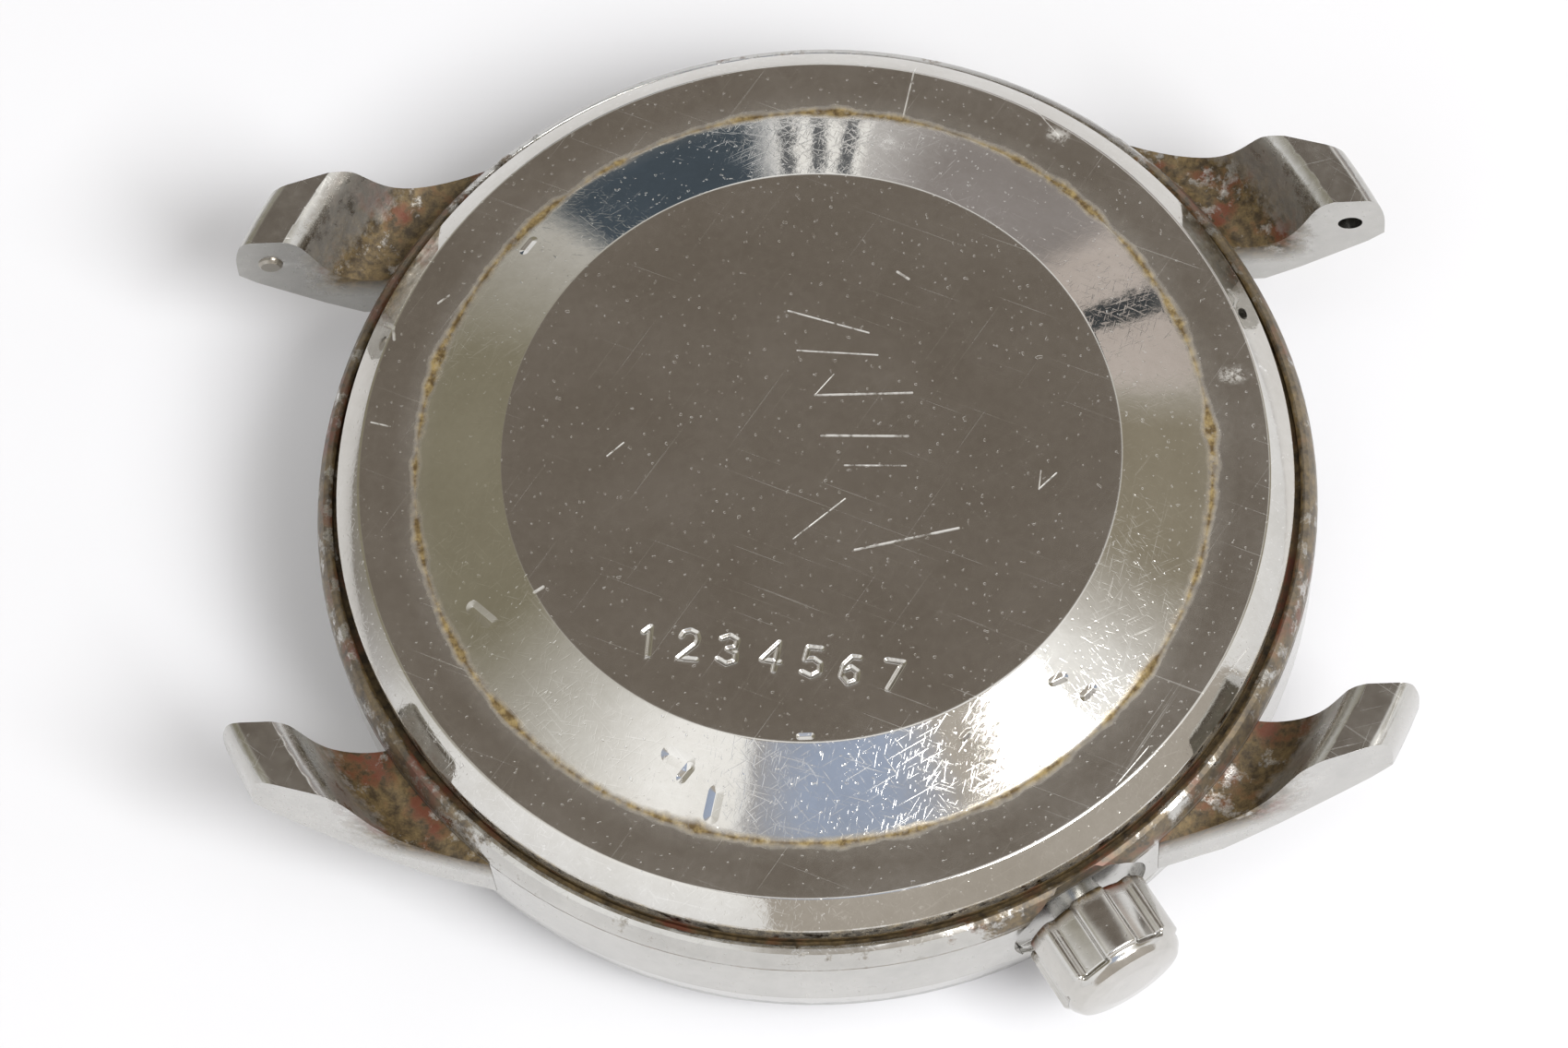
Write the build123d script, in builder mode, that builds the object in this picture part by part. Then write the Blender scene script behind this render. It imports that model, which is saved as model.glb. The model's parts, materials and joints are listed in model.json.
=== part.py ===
from build123d import *
import math
import os

os.makedirs("parts", exist_ok=True)

# ---------------------------------------------------------------- dimensions
# Everything is in millimetres.  The watch lies on its crystal: z = 0 is the
# flat outer face of the crystal and +Z points out of the case back.
# +X points to six o'clock, +Y to nine o'clock.

CASE_R = 18.25            # outer wall of the case middle
WALL_LOW = 4.1            # where the bezel meets the case middle
WALL_HIGH = 7.1           # upper edge of the case wall, next to the back
LEDGE_Z = 8.05            # thin raised edge around the case back
LEDGE_R = CASE_R - 0.5
GAP_R = CASE_R - 0.65              # outside of the narrow groove around the case back
GAP_Z = 7.6               # bottom of that groove
SEAT_Z = 7.9              # shoulder that the case back is screwed down on
BACK_R = CASE_R - 0.9     # rim of the case back
THREAD_R = CASE_R - 1.65  # screw thread of the case back
THREAD_LOW = 7.0
SEAL_IN = CASE_R - 1.5     # groove for the gasket of the back
SEAL_OUT = CASE_R - 1.1
SEAL_T = 0.4
BORE_R = CASE_R - 2.25    # bore that holds the movement ring
NECK_R = CASE_R - 1.35    # neck that the bezel is pressed on
NECK_BORE = CASE_R - 3.35
CRYSTAL_R = CASE_R - 2.75
CRYSTAL_T = 2.0
CRYSTAL_EDGE = 0.5
GASKET_R = CRYSTAL_R + 0.3
BEZEL_LOW = 0.6

RING_Z = 9.6              # flat ring of the case back
DISC_Z = 10.98            # raised centre of the case back
DISC_R = CASE_R - 7.12
CONE_R = CASE_R - 3.915
RING_R = CASE_R - 1.8
BEVEL_Z = 8.735
BACK_T = 0.8              # sheet thickness of the case back
SKIRT_LOW = 7.2
SKIRT_R = CASE_R - 2.65

LUG_GAP = 18.86           # width between the lugs, for a 19 mm strap
LUG_X_IN = 11.9
LUG_X_OUT = CASE_R + 5.75
LUG_Y_IN = 13.87          # outside of a lug at its root and beyond its tip
LUG_Y_OUT = 10.43
BAR_X = CASE_R + 1.71     # spring-bar holes
BAR_Z = 8.65
BAR_HOLE_R = 0.45
BAR_HOLE_DEPTH = 1.2
STUB_OUT = 0.15           # how far the broken pivot stands out of its hole

STEM_ANGLE = -60.0        # crown at four o'clock
STEM_Z = 5.4
CROWN_R = 2.45
CROWN_IN = CASE_R + 0.1
CROWN_RIM = CROWN_IN + 2.45
CROWN_END = CROWN_IN + 3.1
CROWN_LOBES = 6
SLOT_W = 1.15
SLOT_DEPTH = 0.32
RECESS_R = CROWN_R + 0.3
RECESS_IN = CASE_R - 0.5
TUBE_R = 1.0
TUBE_BORE = 0.65
TUBE_IN = BORE_R - 0.1
TUBE_OUT = CROWN_IN + 1.15
STEM_R = 0.6
SQUARE = 0.8
FIT = 0.03                # running clearance on radius

DIAL_FACE = 3.5
DIAL_T = 0.4
DIAL_R = BORE_R - 0.2
DIAL_HOLE = 1.0
DIAL_BACK = DIAL_FACE + DIAL_T

PLATE_R = 13.7
PLATE_TOP = 6.4
MOTION_Z = 4.5            # floor of the recess under the dial
BRIDGE_LOW = 7.6
BRIDGE_TOP = 8.1
BRIDGE_R = 13.4
SPLIT_X = 2.2             # line between the two large bridges
SPLIT_GAP = 0.1
FOOT_R = 1.2
FOOT_AT = 12.0
SCREW_HEAD = 0.7
SCREW_SHANK = 0.35
SCREW_DEPTH = 0.25

DRUM_R = 5.2
DRUM_BORE = DRUM_R - 0.4
BARREL_TEETH = 72
CENTRE_LEAVES = 12
BARREL_M = 0.16
CENTRE_TEETH = 75
THIRD_LEAVES = 10
CENTRE_M = 0.11
THIRD_TEETH = 80
FOURTH_LEAVES = 10
FOURTH_TEETH = 70
ESCAPE_LEAVES = 7
FOURTH_M = 0.1169
ESCAPE_TEETH = 15
ESCAPE_R = 2.1
CANNON_LEAVES = 12
MINUTE_TEETH = 36
MINUTE_M = 0.12
MINUTE_LEAVES = 10
HOUR_TEETH = 40
SETTING_TEETH = 20
ROTOR_LEAVES = 30
REDUCTION_TEETH = 60
ROTOR_M = 0.1
REDUCTION_LEAVES = 10
RATCHET_TEETH = 48
RATCHET_M = 0.14

BARREL_ANGLE = 5.0
THIRD_ANGLE = 77.0
ESCAPE_ANGLE = 191.0
BALANCE_ANGLE = 155.0
BALANCE_AT = 8.6
PALLET_FROM_ESCAPE = 2.42

PIVOT_R = 0.1
JEWEL_R = 0.5
JEWEL_T = 0.3
SECONDS_R = 0.13
CENTRE_TUBE_R = 0.4
CANNON_R = 0.56
HOUR_PIPE_R = 0.9


def polar(radius, angle):
    a = math.radians(angle)
    return (radius * math.cos(a), radius * math.sin(a))


def bearing(start, end):
    return math.degrees(math.atan2(end[1] - start[1], end[0] - start[0]))


def between(start, end, distance):
    return (
        start[0] + polar(distance, bearing(start, end))[0],
        start[1] + polar(distance, bearing(start, end))[1],
    )


def mesh_phase(angle, phase, teeth, other_teeth):
    # Turns a wheel so that its gap meets the tooth of the wheel it runs with.
    pitch = 360.0 / teeth
    part = ((angle - phase) / pitch) % 1.0
    return angle + 180.0 + (part + 0.5) * 360.0 / other_teeth


def teeth_outline(teeth, module, phase):
    # Outline of a toothed wheel as straight flanks between root and tip.
    pitch = 360.0 / teeth
    root = module * teeth / 2 - 1.2 * module
    tip = module * teeth / 2 + 0.85 * module
    points = []
    for i in range(teeth):
        centre = phase + i * pitch
        points.append(polar(root, centre - 0.31 * pitch))
        points.append(polar(tip, centre - 0.11 * pitch))
        points.append(polar(tip, centre + 0.11 * pitch))
        points.append(polar(root, centre + 0.31 * pitch))
    Polygon(*points, align=None)


def ratchet_outline(teeth, tip, root, phase):
    # Pointed teeth that all lean the same way.
    pitch = 360.0 / teeth
    points = []
    for i in range(teeth):
        centre = phase + i * pitch
        points.append(polar(root, centre - 0.62 * pitch))
        points.append(polar(tip, centre - 0.10 * pitch))
        points.append(polar(tip, centre))
        points.append(polar(root, centre - 0.12 * pitch))
    Polygon(*points, align=None)


BARREL_AT = BARREL_M * (BARREL_TEETH + CENTRE_LEAVES) / 2
THIRD_AT = CENTRE_M * (CENTRE_TEETH + THIRD_LEAVES) / 2
THIRD_M = 2 * THIRD_AT / (THIRD_TEETH + FOURTH_LEAVES)
ESCAPE_AT = FOURTH_M * (FOURTH_TEETH + ESCAPE_LEAVES) / 2
MINUTE_AT = MINUTE_M * (CANNON_LEAVES + MINUTE_TEETH) / 2
HOUR_M = 2 * MINUTE_AT / (MINUTE_LEAVES + HOUR_TEETH)
SETTING_AT = MINUTE_AT + MINUTE_M * (MINUTE_TEETH + SETTING_TEETH) / 2
REDUCTION_AT = ROTOR_M * (ROTOR_LEAVES + REDUCTION_TEETH) / 2
RATCHET_DISTANCE = RATCHET_M * (RATCHET_TEETH + REDUCTION_LEAVES) / 2
REDUCTION_COS = (REDUCTION_AT**2 + BARREL_AT**2 - RATCHET_DISTANCE**2) / (2 * REDUCTION_AT * BARREL_AT)

CENTRE = (0.0, 0.0)
BARREL = polar(BARREL_AT, BARREL_ANGLE)
THIRD = polar(THIRD_AT, THIRD_ANGLE)
ESCAPE = polar(ESCAPE_AT, ESCAPE_ANGLE)
BALANCE = polar(BALANCE_AT, BALANCE_ANGLE)
PALLET = between(ESCAPE, BALANCE, PALLET_FROM_ESCAPE)
MINUTE = polar(MINUTE_AT, STEM_ANGLE)
SETTING = polar(SETTING_AT, STEM_ANGLE)
REDUCTION = polar(REDUCTION_AT, BARREL_ANGLE + math.degrees(math.acos(REDUCTION_COS)))
COCK_FOOT = polar(11.4, 197.0)
FEET_BARREL = (polar(FOOT_AT, 42.0), polar(FOOT_AT, -32.0))
FEET_TRAIN = (polar(FOOT_AT, 90.0), polar(FOOT_AT, 235.0))
SIDE = bearing(ESCAPE, BALANCE) + 90.0
PALLET_FOOT = (PALLET[0] + polar(2.6, SIDE)[0], PALLET[1] + polar(2.6, SIDE)[1])

# Levels of the wheels above the main plate.
CENTRE_Z = 6.5
THIRD_Z = 7.1
FOURTH_Z = 7.35
ESCAPE_Z = 6.7
WHEEL_T = 0.15
RIM_Z = 7.2
RIM_T = 0.25
RIM_R = 4.2
RATCHET_Z = 8.12
RATCHET_T = 0.18
ROTOR_Z = 8.8
ROTOR_T = 0.2
ROTOR_R = 13.0

# The stem's own frame: its z axis runs outwards along the stem, and its
# x axis stays level.
STEM_PLANE = Plane(
    origin=(0, 0, STEM_Z),
    x_dir=(-math.sin(math.radians(STEM_ANGLE)), math.cos(math.radians(STEM_ANGLE)), 0),
    z_dir=(math.cos(math.radians(STEM_ANGLE)), math.sin(math.radians(STEM_ANGLE)), 0),
)

# ---------------------------------------------------------------------- case
# The four lugs are turned as one ring and then milled to their outline, so
# their underside is a ring-shaped hollow with a ridge and a flat foot.
# Each point is how far it stands out of the case wall, and its height.
LUG_LOW = 4.3
HOLLOW = ((0.0, WALL_HIGH), (0.84, 7.0), (1.45, 7.3), (2.03, 8.1), (2.62, 9.75))
RIDGE = ((2.62, 9.75), (2.87, 10.15), (3.23, 10.4))
FOOT = ((3.23, 10.4), (4.22, 10.4))
TIP = ((4.22, 10.4), (4.62, 10.2), (4.79, 9.8), (4.95, 9.0), (5.01, 7.8))
DIAL_SIDE = ((5.01, 7.8), (4.49, 7.15), (2.34, 5.2), (1.19, LUG_LOW), (0.0, LUG_LOW), (0.0, WALL_HIGH))


def turned(points):
    return [(CASE_R + out, height) for out, height in points]


with BuildPart() as lugs:
    with BuildSketch(Plane.XZ):
        with BuildLine():
            Spline(*turned(HOLLOW))
            Spline(*turned(RIDGE))
            Line(*turned(FOOT))
            Spline(*turned(TIP))
            Polyline(*turned(DIAL_SIDE))
        make_face()
    revolve(axis=Axis.Z)
    with BuildSketch(Plane.XY):
        for sx in (-1, 1):
            for sy in (-1, 1):
                Polygon(
                    (sx * LUG_X_IN * 0.88, sy * LUG_GAP / 2),
                    (sx * LUG_X_OUT, sy * LUG_GAP / 2),
                    (sx * LUG_X_OUT, sy * LUG_Y_OUT),
                    (sx * LUG_X_IN, sy * LUG_Y_IN),
                    (sx * LUG_X_IN * 0.88, sy * LUG_Y_IN * 0.94),
                    align=None,
                )
    extrude(amount=DISC_Z + 1, mode=Mode.INTERSECT)
    for sx in (-1, 1):
        for sy in (-1, 1):
            with BuildSketch(Plane.XZ.offset(-sy * LUG_GAP / 2)):
                with Locations((sx * BAR_X, BAR_Z)):
                    Circle(BAR_HOLE_R)
            extrude(amount=-sy * BAR_HOLE_DEPTH, mode=Mode.SUBTRACT)
lugs.part.label = "lugs"
export_step(lugs.part, "parts/lugs.step")

with BuildPart() as case_middle:
    with BuildSketch(Plane.XZ):
        with BuildLine():
            Polyline(
                (CASE_R, WALL_LOW),
                (CASE_R, WALL_HIGH),
                (CASE_R - 0.13, 7.62),
                (CASE_R - 0.32, 7.96),
                (LEDGE_R, LEDGE_Z),
                (GAP_R, LEDGE_Z - 0.08),
                (GAP_R, GAP_Z),
                (BACK_R, GAP_Z),
                (BACK_R, SEAT_Z),
                (SEAL_OUT, SEAT_Z),
                (SEAL_OUT, SEAT_Z - SEAL_T),
                (SEAL_IN, SEAT_Z - SEAL_T),
                (SEAL_IN, SEAT_Z),
                (THREAD_R, SEAT_Z),
                (THREAD_R, THREAD_LOW),
                (BORE_R, THREAD_LOW),
                (BORE_R, DIAL_FACE),
                (NECK_BORE, DIAL_FACE),
                (NECK_BORE, CRYSTAL_T),
                (NECK_R, CRYSTAL_T),
                (NECK_R, WALL_LOW),
                close=True,
            )
        make_face()
    revolve(axis=Axis.Z)
    with BuildSketch(STEM_PLANE.offset(RECESS_IN)):
        Circle(RECESS_R)
    extrude(amount=4, mode=Mode.SUBTRACT)
    with BuildSketch(STEM_PLANE.offset(TUBE_IN - 0.5)):
        Circle(TUBE_R)
    extrude(amount=4, mode=Mode.SUBTRACT)
case_middle.part.label = "case_middle"
export_step(case_middle.part, "parts/case_middle.step")

with BuildPart() as bezel:
    with BuildSketch(Plane.XZ):
        with BuildLine():
            Polyline(
                (GASKET_R, BEZEL_LOW),
                (CASE_R - 1.95, BEZEL_LOW),
                (CASE_R - 0.95, 1.15),
                (CASE_R - 0.25, 2.5),
                (CASE_R, WALL_LOW),
                (NECK_R, WALL_LOW),
                (NECK_R, CRYSTAL_T),
                (GASKET_R, CRYSTAL_T),
                close=True,
            )
        make_face()
    revolve(axis=Axis.Z)
    with BuildSketch(STEM_PLANE.offset(RECESS_IN)):
        Circle(RECESS_R)
    extrude(amount=4, mode=Mode.SUBTRACT)
bezel.part.label = "bezel"
export_step(bezel.part, "parts/bezel.step")

with BuildPart() as crystal:
    with BuildSketch(Plane.XY):
        Circle(CRYSTAL_R)
    extrude(amount=CRYSTAL_T)
    chamfer(crystal.edges().group_by(Axis.Z)[0], CRYSTAL_EDGE)
crystal.part.label = "crystal"
export_step(crystal.part, "parts/crystal.step")

with BuildPart() as crystal_gasket:
    with BuildSketch(Plane.XY.offset(BEZEL_LOW + 0.2)):
        Circle(GASKET_R)
        Circle(CRYSTAL_R, mode=Mode.SUBTRACT)
    extrude(amount=CRYSTAL_T - BEZEL_LOW - 0.2)
crystal_gasket.part.label = "crystal_gasket"
export_step(crystal_gasket.part, "parts/crystal_gasket.step")

# The case back is pressed from sheet: raised disc, cone, flat ring, bevel and
# a threaded skirt.
with BuildPart() as case_back:
    with BuildSketch(Plane.XZ):
        with BuildLine():
            Polyline(
                (0, DISC_Z),
                (DISC_R, DISC_Z),
                (CONE_R, RING_Z),
                (RING_R, RING_Z),
                (BACK_R, BEVEL_Z),
                (BACK_R, SEAT_Z),
                (THREAD_R, SEAT_Z),
                (THREAD_R, SKIRT_LOW),
                (SKIRT_R, SKIRT_LOW),
                (SKIRT_R, RING_Z - BACK_T),
                (CONE_R - 0.36, RING_Z - BACK_T),
                (DISC_R - 0.36, DISC_Z - BACK_T),
                (0, DISC_Z - BACK_T),
                close=True,
            )
        make_face()
    revolve(axis=Axis.Z)
case_back.part.label = "case_back"
export_step(case_back.part, "parts/case_back.step")

with BuildPart() as case_back_gasket:
    with BuildSketch(Plane.XY.offset(SEAT_Z - SEAL_T)):
        Circle(SEAL_OUT)
        Circle(SEAL_IN, mode=Mode.SUBTRACT)
    extrude(amount=SEAL_T)
case_back_gasket.part.label = "case_back_gasket"
export_step(case_back_gasket.part, "parts/case_back_gasket.step")

# What is left of the strap's spring bar: one pivot, broken off in its hole.
with BuildPart() as spring_bar_stub:
    with BuildSketch(Plane.XZ.offset(-(LUG_GAP / 2 + BAR_HOLE_DEPTH))):
        with Locations((-BAR_X, BAR_Z)):
            Circle(BAR_HOLE_R)
    extrude(amount=BAR_HOLE_DEPTH + STUB_OUT)
    chamfer(spring_bar_stub.edges().group_by(Axis.Y)[0], 0.1)
spring_bar_stub.part.label = "spring_bar_stub"
export_step(spring_bar_stub.part, "parts/spring_bar_stub.step")

# --------------------------------------------------------- crown and keyless
with BuildPart() as crown:
    with BuildSketch(STEM_PLANE.offset(CROWN_IN)):
        Circle(CROWN_R)
        with PolarLocations(CROWN_R, CROWN_LOBES, start_angle=30):
            Rectangle(2 * SLOT_DEPTH, SLOT_W, mode=Mode.SUBTRACT)
    extrude(amount=CROWN_RIM - CROWN_IN)
    with BuildSketch(STEM_PLANE.offset(CROWN_RIM - 0.01)):
        Circle(CROWN_R - 0.18)
    extrude(amount=CROWN_END - CROWN_RIM + 0.01, taper=28)
    with BuildSketch(STEM_PLANE.offset(CROWN_IN - 0.01)):
        Circle(TUBE_R + 2 * FIT)
    extrude(amount=1.56, mode=Mode.SUBTRACT)
    with BuildSketch(STEM_PLANE.offset(CROWN_IN + 0.5)):
        Circle(TUBE_R + 0.4)
    extrude(amount=0.5, mode=Mode.SUBTRACT)
    with BuildSketch(STEM_PLANE.offset(CROWN_IN)):
        Circle(STEM_R)
    extrude(amount=2.25, mode=Mode.SUBTRACT)
crown.part.label = "crown"
export_step(crown.part, "parts/crown.step")

with BuildPart() as crown_gasket:
    with BuildSketch(STEM_PLANE.offset(CROWN_IN + 0.5)):
        Circle(TUBE_R + 0.4)
        Circle(TUBE_R + FIT, mode=Mode.SUBTRACT)
    extrude(amount=0.5)
crown_gasket.part.label = "crown_gasket"
export_step(crown_gasket.part, "parts/crown_gasket.step")

with BuildPart() as crown_tube:
    with BuildSketch(STEM_PLANE.offset(TUBE_IN)):
        Circle(TUBE_R)
        Circle(TUBE_BORE, mode=Mode.SUBTRACT)
    extrude(amount=TUBE_OUT - TUBE_IN)
crown_tube.part.label = "crown_tube"
export_step(crown_tube.part, "parts/crown_tube.step")

GROOVE_AT = 11.8
GROOVE_W = 0.46
with BuildPart() as winding_stem:
    with BuildSketch(STEM_PLANE.offset(10.6)):
        Circle(STEM_R)
    extrude(amount=CROWN_IN + 2.25 - 10.6)
    with BuildSketch(STEM_PLANE.offset(8.0)):
        Rectangle(SQUARE, SQUARE)
    extrude(amount=2.6)
    with BuildSketch(STEM_PLANE.offset(7.5)):
        Circle(0.25)
    extrude(amount=0.5)
    with BuildSketch(STEM_PLANE.offset(GROOVE_AT - GROOVE_W / 2)):
        Circle(STEM_R + 0.1)
        Circle(0.3, mode=Mode.SUBTRACT)
    extrude(amount=GROOVE_W, mode=Mode.SUBTRACT)
winding_stem.part.label = "winding_stem"
export_step(winding_stem.part, "parts/winding_stem.step")

CLUTCH_R = 1.1
CLUTCH_IN = 8.3
CLUTCH_L = 1.6
with BuildPart() as clutch_wheel:
    with BuildSketch(STEM_PLANE.offset(CLUTCH_IN)):
        Circle(CLUTCH_R)
        Rectangle(SQUARE + 2 * FIT, SQUARE + 2 * FIT, mode=Mode.SUBTRACT)
    extrude(amount=CLUTCH_L)
    with BuildSketch(STEM_PLANE.offset(CLUTCH_IN + 0.6)):
        Circle(CLUTCH_R + 0.1)
        Circle(0.8, mode=Mode.SUBTRACT)
    extrude(amount=0.4, mode=Mode.SUBTRACT)
    with BuildSketch(STEM_PLANE.offset(CLUTCH_IN)):
        with PolarLocations(CLUTCH_R, 12):
            Rectangle(0.5, 0.22)
    extrude(amount=0.3, mode=Mode.SUBTRACT)
clutch_wheel.part.label = "clutch_wheel"
export_step(clutch_wheel.part, "parts/clutch_wheel.step")

# The setting lever swings beside the stem; its pin rides in the stem's groove.
LEVER_SIDE = 2.2
LEVER_Z = 3.98
LEVER_T = 0.35
LEVER_PIVOT = (
    polar(GROOVE_AT + 0.5, STEM_ANGLE)[0] + polar(LEVER_SIDE, STEM_ANGLE + 90)[0],
    polar(GROOVE_AT + 0.5, STEM_ANGLE)[1] + polar(LEVER_SIDE, STEM_ANGLE + 90)[1],
)
LEVER_PIN = polar(GROOVE_AT, STEM_ANGLE)
LEVER_MID = ((LEVER_PIVOT[0] + LEVER_PIN[0]) / 2, (LEVER_PIVOT[1] + LEVER_PIN[1]) / 2)
LEVER_LONG = math.dist(LEVER_PIVOT, LEVER_PIN)
with BuildPart() as setting_lever:
    with BuildSketch(Plane.XY.offset(LEVER_Z)):
        with Locations(LEVER_PIVOT):
            Circle(0.6)
        with Locations(LEVER_PIN):
            Circle(0.32)
        with Locations(Location((LEVER_MID[0], LEVER_MID[1], 0), (0, 0, bearing(LEVER_PIVOT, LEVER_PIN)))):
            Rectangle(LEVER_LONG, 0.5)
        with Locations(LEVER_PIVOT):
            Circle(0.25 + FIT, mode=Mode.SUBTRACT)
    extrude(amount=LEVER_T)
    with BuildSketch(Plane.XY.offset(LEVER_Z + LEVER_T)):
        with Locations(LEVER_PIN):
            Circle(0.17)
    extrude(amount=STEM_Z - 0.34 - LEVER_Z - LEVER_T)
setting_lever.part.label = "setting_lever"
export_step(setting_lever.part, "parts/setting_lever.step")

# ----------------------------------------------------------- dial and hands
with BuildPart() as movement_ring:
    with BuildSketch(Plane.XY.offset(DIAL_BACK)):
        Circle(BORE_R)
        Circle(PLATE_R, mode=Mode.SUBTRACT)
    extrude(amount=THREAD_LOW - DIAL_BACK)
    with BuildSketch(STEM_PLANE.offset(PLATE_R - 1)):
        Circle(TUBE_R + 0.1)
    extrude(amount=BORE_R - PLATE_R + 2, mode=Mode.SUBTRACT)
movement_ring.part.label = "movement_ring"
export_step(movement_ring.part, "parts/movement_ring.step")

with BuildPart() as dial:
    with BuildSketch(Plane.XY.offset(DIAL_FACE)):
        Circle(DIAL_R)
        Circle(DIAL_HOLE, mode=Mode.SUBTRACT)
    extrude(amount=DIAL_T)
dial.part.label = "dial"
export_step(dial.part, "parts/dial.step")

with BuildPart() as dial_ring:
    with BuildSketch(Plane.XZ):
        with BuildLine():
            Polyline(
                (NECK_BORE, CRYSTAL_T + 0.02),
                (NECK_BORE, DIAL_FACE),
                (NECK_BORE - 0.9, DIAL_FACE),
                (NECK_BORE - 0.9, DIAL_FACE - 0.15),
                (NECK_BORE - 0.3, CRYSTAL_T + 0.02),
                close=True,
            )
        make_face()
    revolve(axis=Axis.Z)
dial_ring.part.label = "dial_ring"
export_step(dial_ring.part, "parts/dial_ring.step")

MARKER_T = 0.3
with BuildPart() as hour_markers:
    with BuildSketch(Plane.XY.offset(DIAL_FACE - MARKER_T)):
        with PolarLocations(12.3, 12):
            Rectangle(2.2, 0.55)
        with Locations((-12.3, 0)):
            Rectangle(2.2, 1.5)
    extrude(amount=MARKER_T)
    chamfer(hour_markers.edges().group_by(Axis.Z)[0], 0.12)
hour_markers.part.label = "hour_markers"
export_step(hour_markers.part, "parts/hour_markers.step")

# A hand points to its hour: twelve o'clock lies on -X, and the hours run
# anticlockwise when the watch is looked at from its back.
SHOWN_HOUR = 10.0 + 10.0 / 60.0
SHOWN_MINUTE = 10.0
SHOWN_SECOND = 32.0
HOUR_ANGLE = 180.0 + 30.0 * SHOWN_HOUR
MINUTE_ANGLE = 180.0 + 6.0 * SHOWN_MINUTE
SECOND_ANGLE = 180.0 + 6.0 * SHOWN_SECOND
HAND_T = 0.15
HOUR_HAND_Z = 3.03
MINUTE_HAND_Z = 2.66
SECOND_HAND_Z = 2.29


def baton(length, width, tail, angle):
    # Tapered hand with a short pointed end, drawn from its tail to its tip.
    points = ((-tail, -width * 0.35), (0, -width * 0.5), (length * 0.86, -width * 0.5), (length, 0))
    mirrored = ((length * 0.86, width * 0.5), (0, width * 0.5), (-tail, width * 0.35))
    with Locations(Location((0, 0, 0), (0, 0, angle))):
        Polygon(*points, *mirrored, align=None)


with BuildPart() as hour_hand:
    with BuildSketch(Plane.XY.offset(HOUR_HAND_Z)):
        baton(8.0, 1.0, 1.4, HOUR_ANGLE)
        Circle(HOUR_PIPE_R + 0.35)
        Circle(HOUR_PIPE_R, mode=Mode.SUBTRACT)
    extrude(amount=HAND_T)
hour_hand.part.label = "hour_hand"
export_step(hour_hand.part, "parts/hour_hand.step")

with BuildPart() as minute_hand:
    with BuildSketch(Plane.XY.offset(MINUTE_HAND_Z)):
        baton(12.0, 0.85, 1.2, MINUTE_ANGLE)
        Circle(CANNON_R + 0.35)
        Circle(CANNON_R, mode=Mode.SUBTRACT)
    extrude(amount=HAND_T)
minute_hand.part.label = "minute_hand"
export_step(minute_hand.part, "parts/minute_hand.step")

with BuildPart() as seconds_hand:
    with BuildSketch(Plane.XY.offset(SECOND_HAND_Z)):
        baton(13.2, 0.22, 4.0, SECOND_ANGLE)
        Circle(0.55)
        Circle(SECONDS_R, mode=Mode.SUBTRACT)
    extrude(amount=HAND_T)
seconds_hand.part.label = "seconds_hand"
export_step(seconds_hand.part, "parts/seconds_hand.step")

# --------------------------------------------------------- plate and bridges
with BuildPart() as main_plate:
    with BuildSketch(Plane.XY.offset(DIAL_BACK)):
        Circle(PLATE_R)
    extrude(amount=PLATE_TOP - DIAL_BACK)
    with BuildSketch(Plane.XY.offset(4.75)):
        with Locations(BARREL):
            Circle(DRUM_R + 0.25)
    extrude(amount=3, mode=Mode.SUBTRACT)
    with BuildSketch(Plane.XY.offset(6.0)):
        with Locations(BARREL):
            Circle(BARREL_M * BARREL_TEETH / 2 + 0.3)
        Circle(1.2)
    extrude(amount=3, mode=Mode.SUBTRACT)
    with BuildSketch(Plane.XY.offset(4.35)):
        with Locations(BARREL):
            Circle(0.4 + FIT)
    extrude(amount=1, mode=Mode.SUBTRACT)
    with BuildSketch(Plane.XY.offset(DIAL_BACK)):
        Circle(2.65)
        with Locations(MINUTE):
            Circle(2.5)
        with Locations(SETTING):
            Circle(1.5)
        with Locations(LEVER_PIVOT):
            Circle(0.85)
        with Locations(Location((LEVER_MID[0], LEVER_MID[1], 0), (0, 0, bearing(LEVER_PIVOT, LEVER_PIN)))):
            Rectangle(LEVER_LONG, 2.2)
        with Locations(polar(GROOVE_AT + 0.4, STEM_ANGLE)):
            Circle(1.0)
    extrude(amount=MOTION_Z - DIAL_BACK, mode=Mode.SUBTRACT)
    with BuildSketch(Plane.XY.offset(DIAL_BACK)):
        Circle(CENTRE_TUBE_R + FIT)
    extrude(amount=4, mode=Mode.SUBTRACT)
    with BuildSketch(STEM_PLANE.offset(7.4)):
        Circle(TUBE_BORE)
    extrude(amount=8, mode=Mode.SUBTRACT)
    with BuildSketch(Plane.XY.offset(DIAL_BACK)):
        with Locations(Location((*polar(9.2, STEM_ANGLE), 0), (0, 0, STEM_ANGLE))):
            Rectangle(2.2, 2.5)
    extrude(amount=4, mode=Mode.SUBTRACT)
    with BuildSketch(Plane.XY.offset(DIAL_BACK)):
        with Locations(Location((*polar(GROOVE_AT + 0.5, STEM_ANGLE), 0), (0, 0, STEM_ANGLE))):
            Rectangle(1.9, 0.8)
    extrude(amount=STEM_Z - DIAL_BACK, mode=Mode.SUBTRACT)
    with BuildSketch(Plane.XY.offset(PLATE_TOP - JEWEL_T)):
        with Locations(THIRD, ESCAPE, PALLET, BALANCE):
            Circle(JEWEL_R)
    extrude(amount=1, mode=Mode.SUBTRACT)
    with BuildSketch(Plane.XY.offset(LEVER_Z)):
        with Locations(MINUTE, SETTING, LEVER_PIVOT):
            Circle(0.25)
    extrude(amount=MOTION_Z - LEVER_Z)
main_plate.part.label = "main_plate"
export_step(main_plate.part, "parts/main_plate.step")

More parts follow.
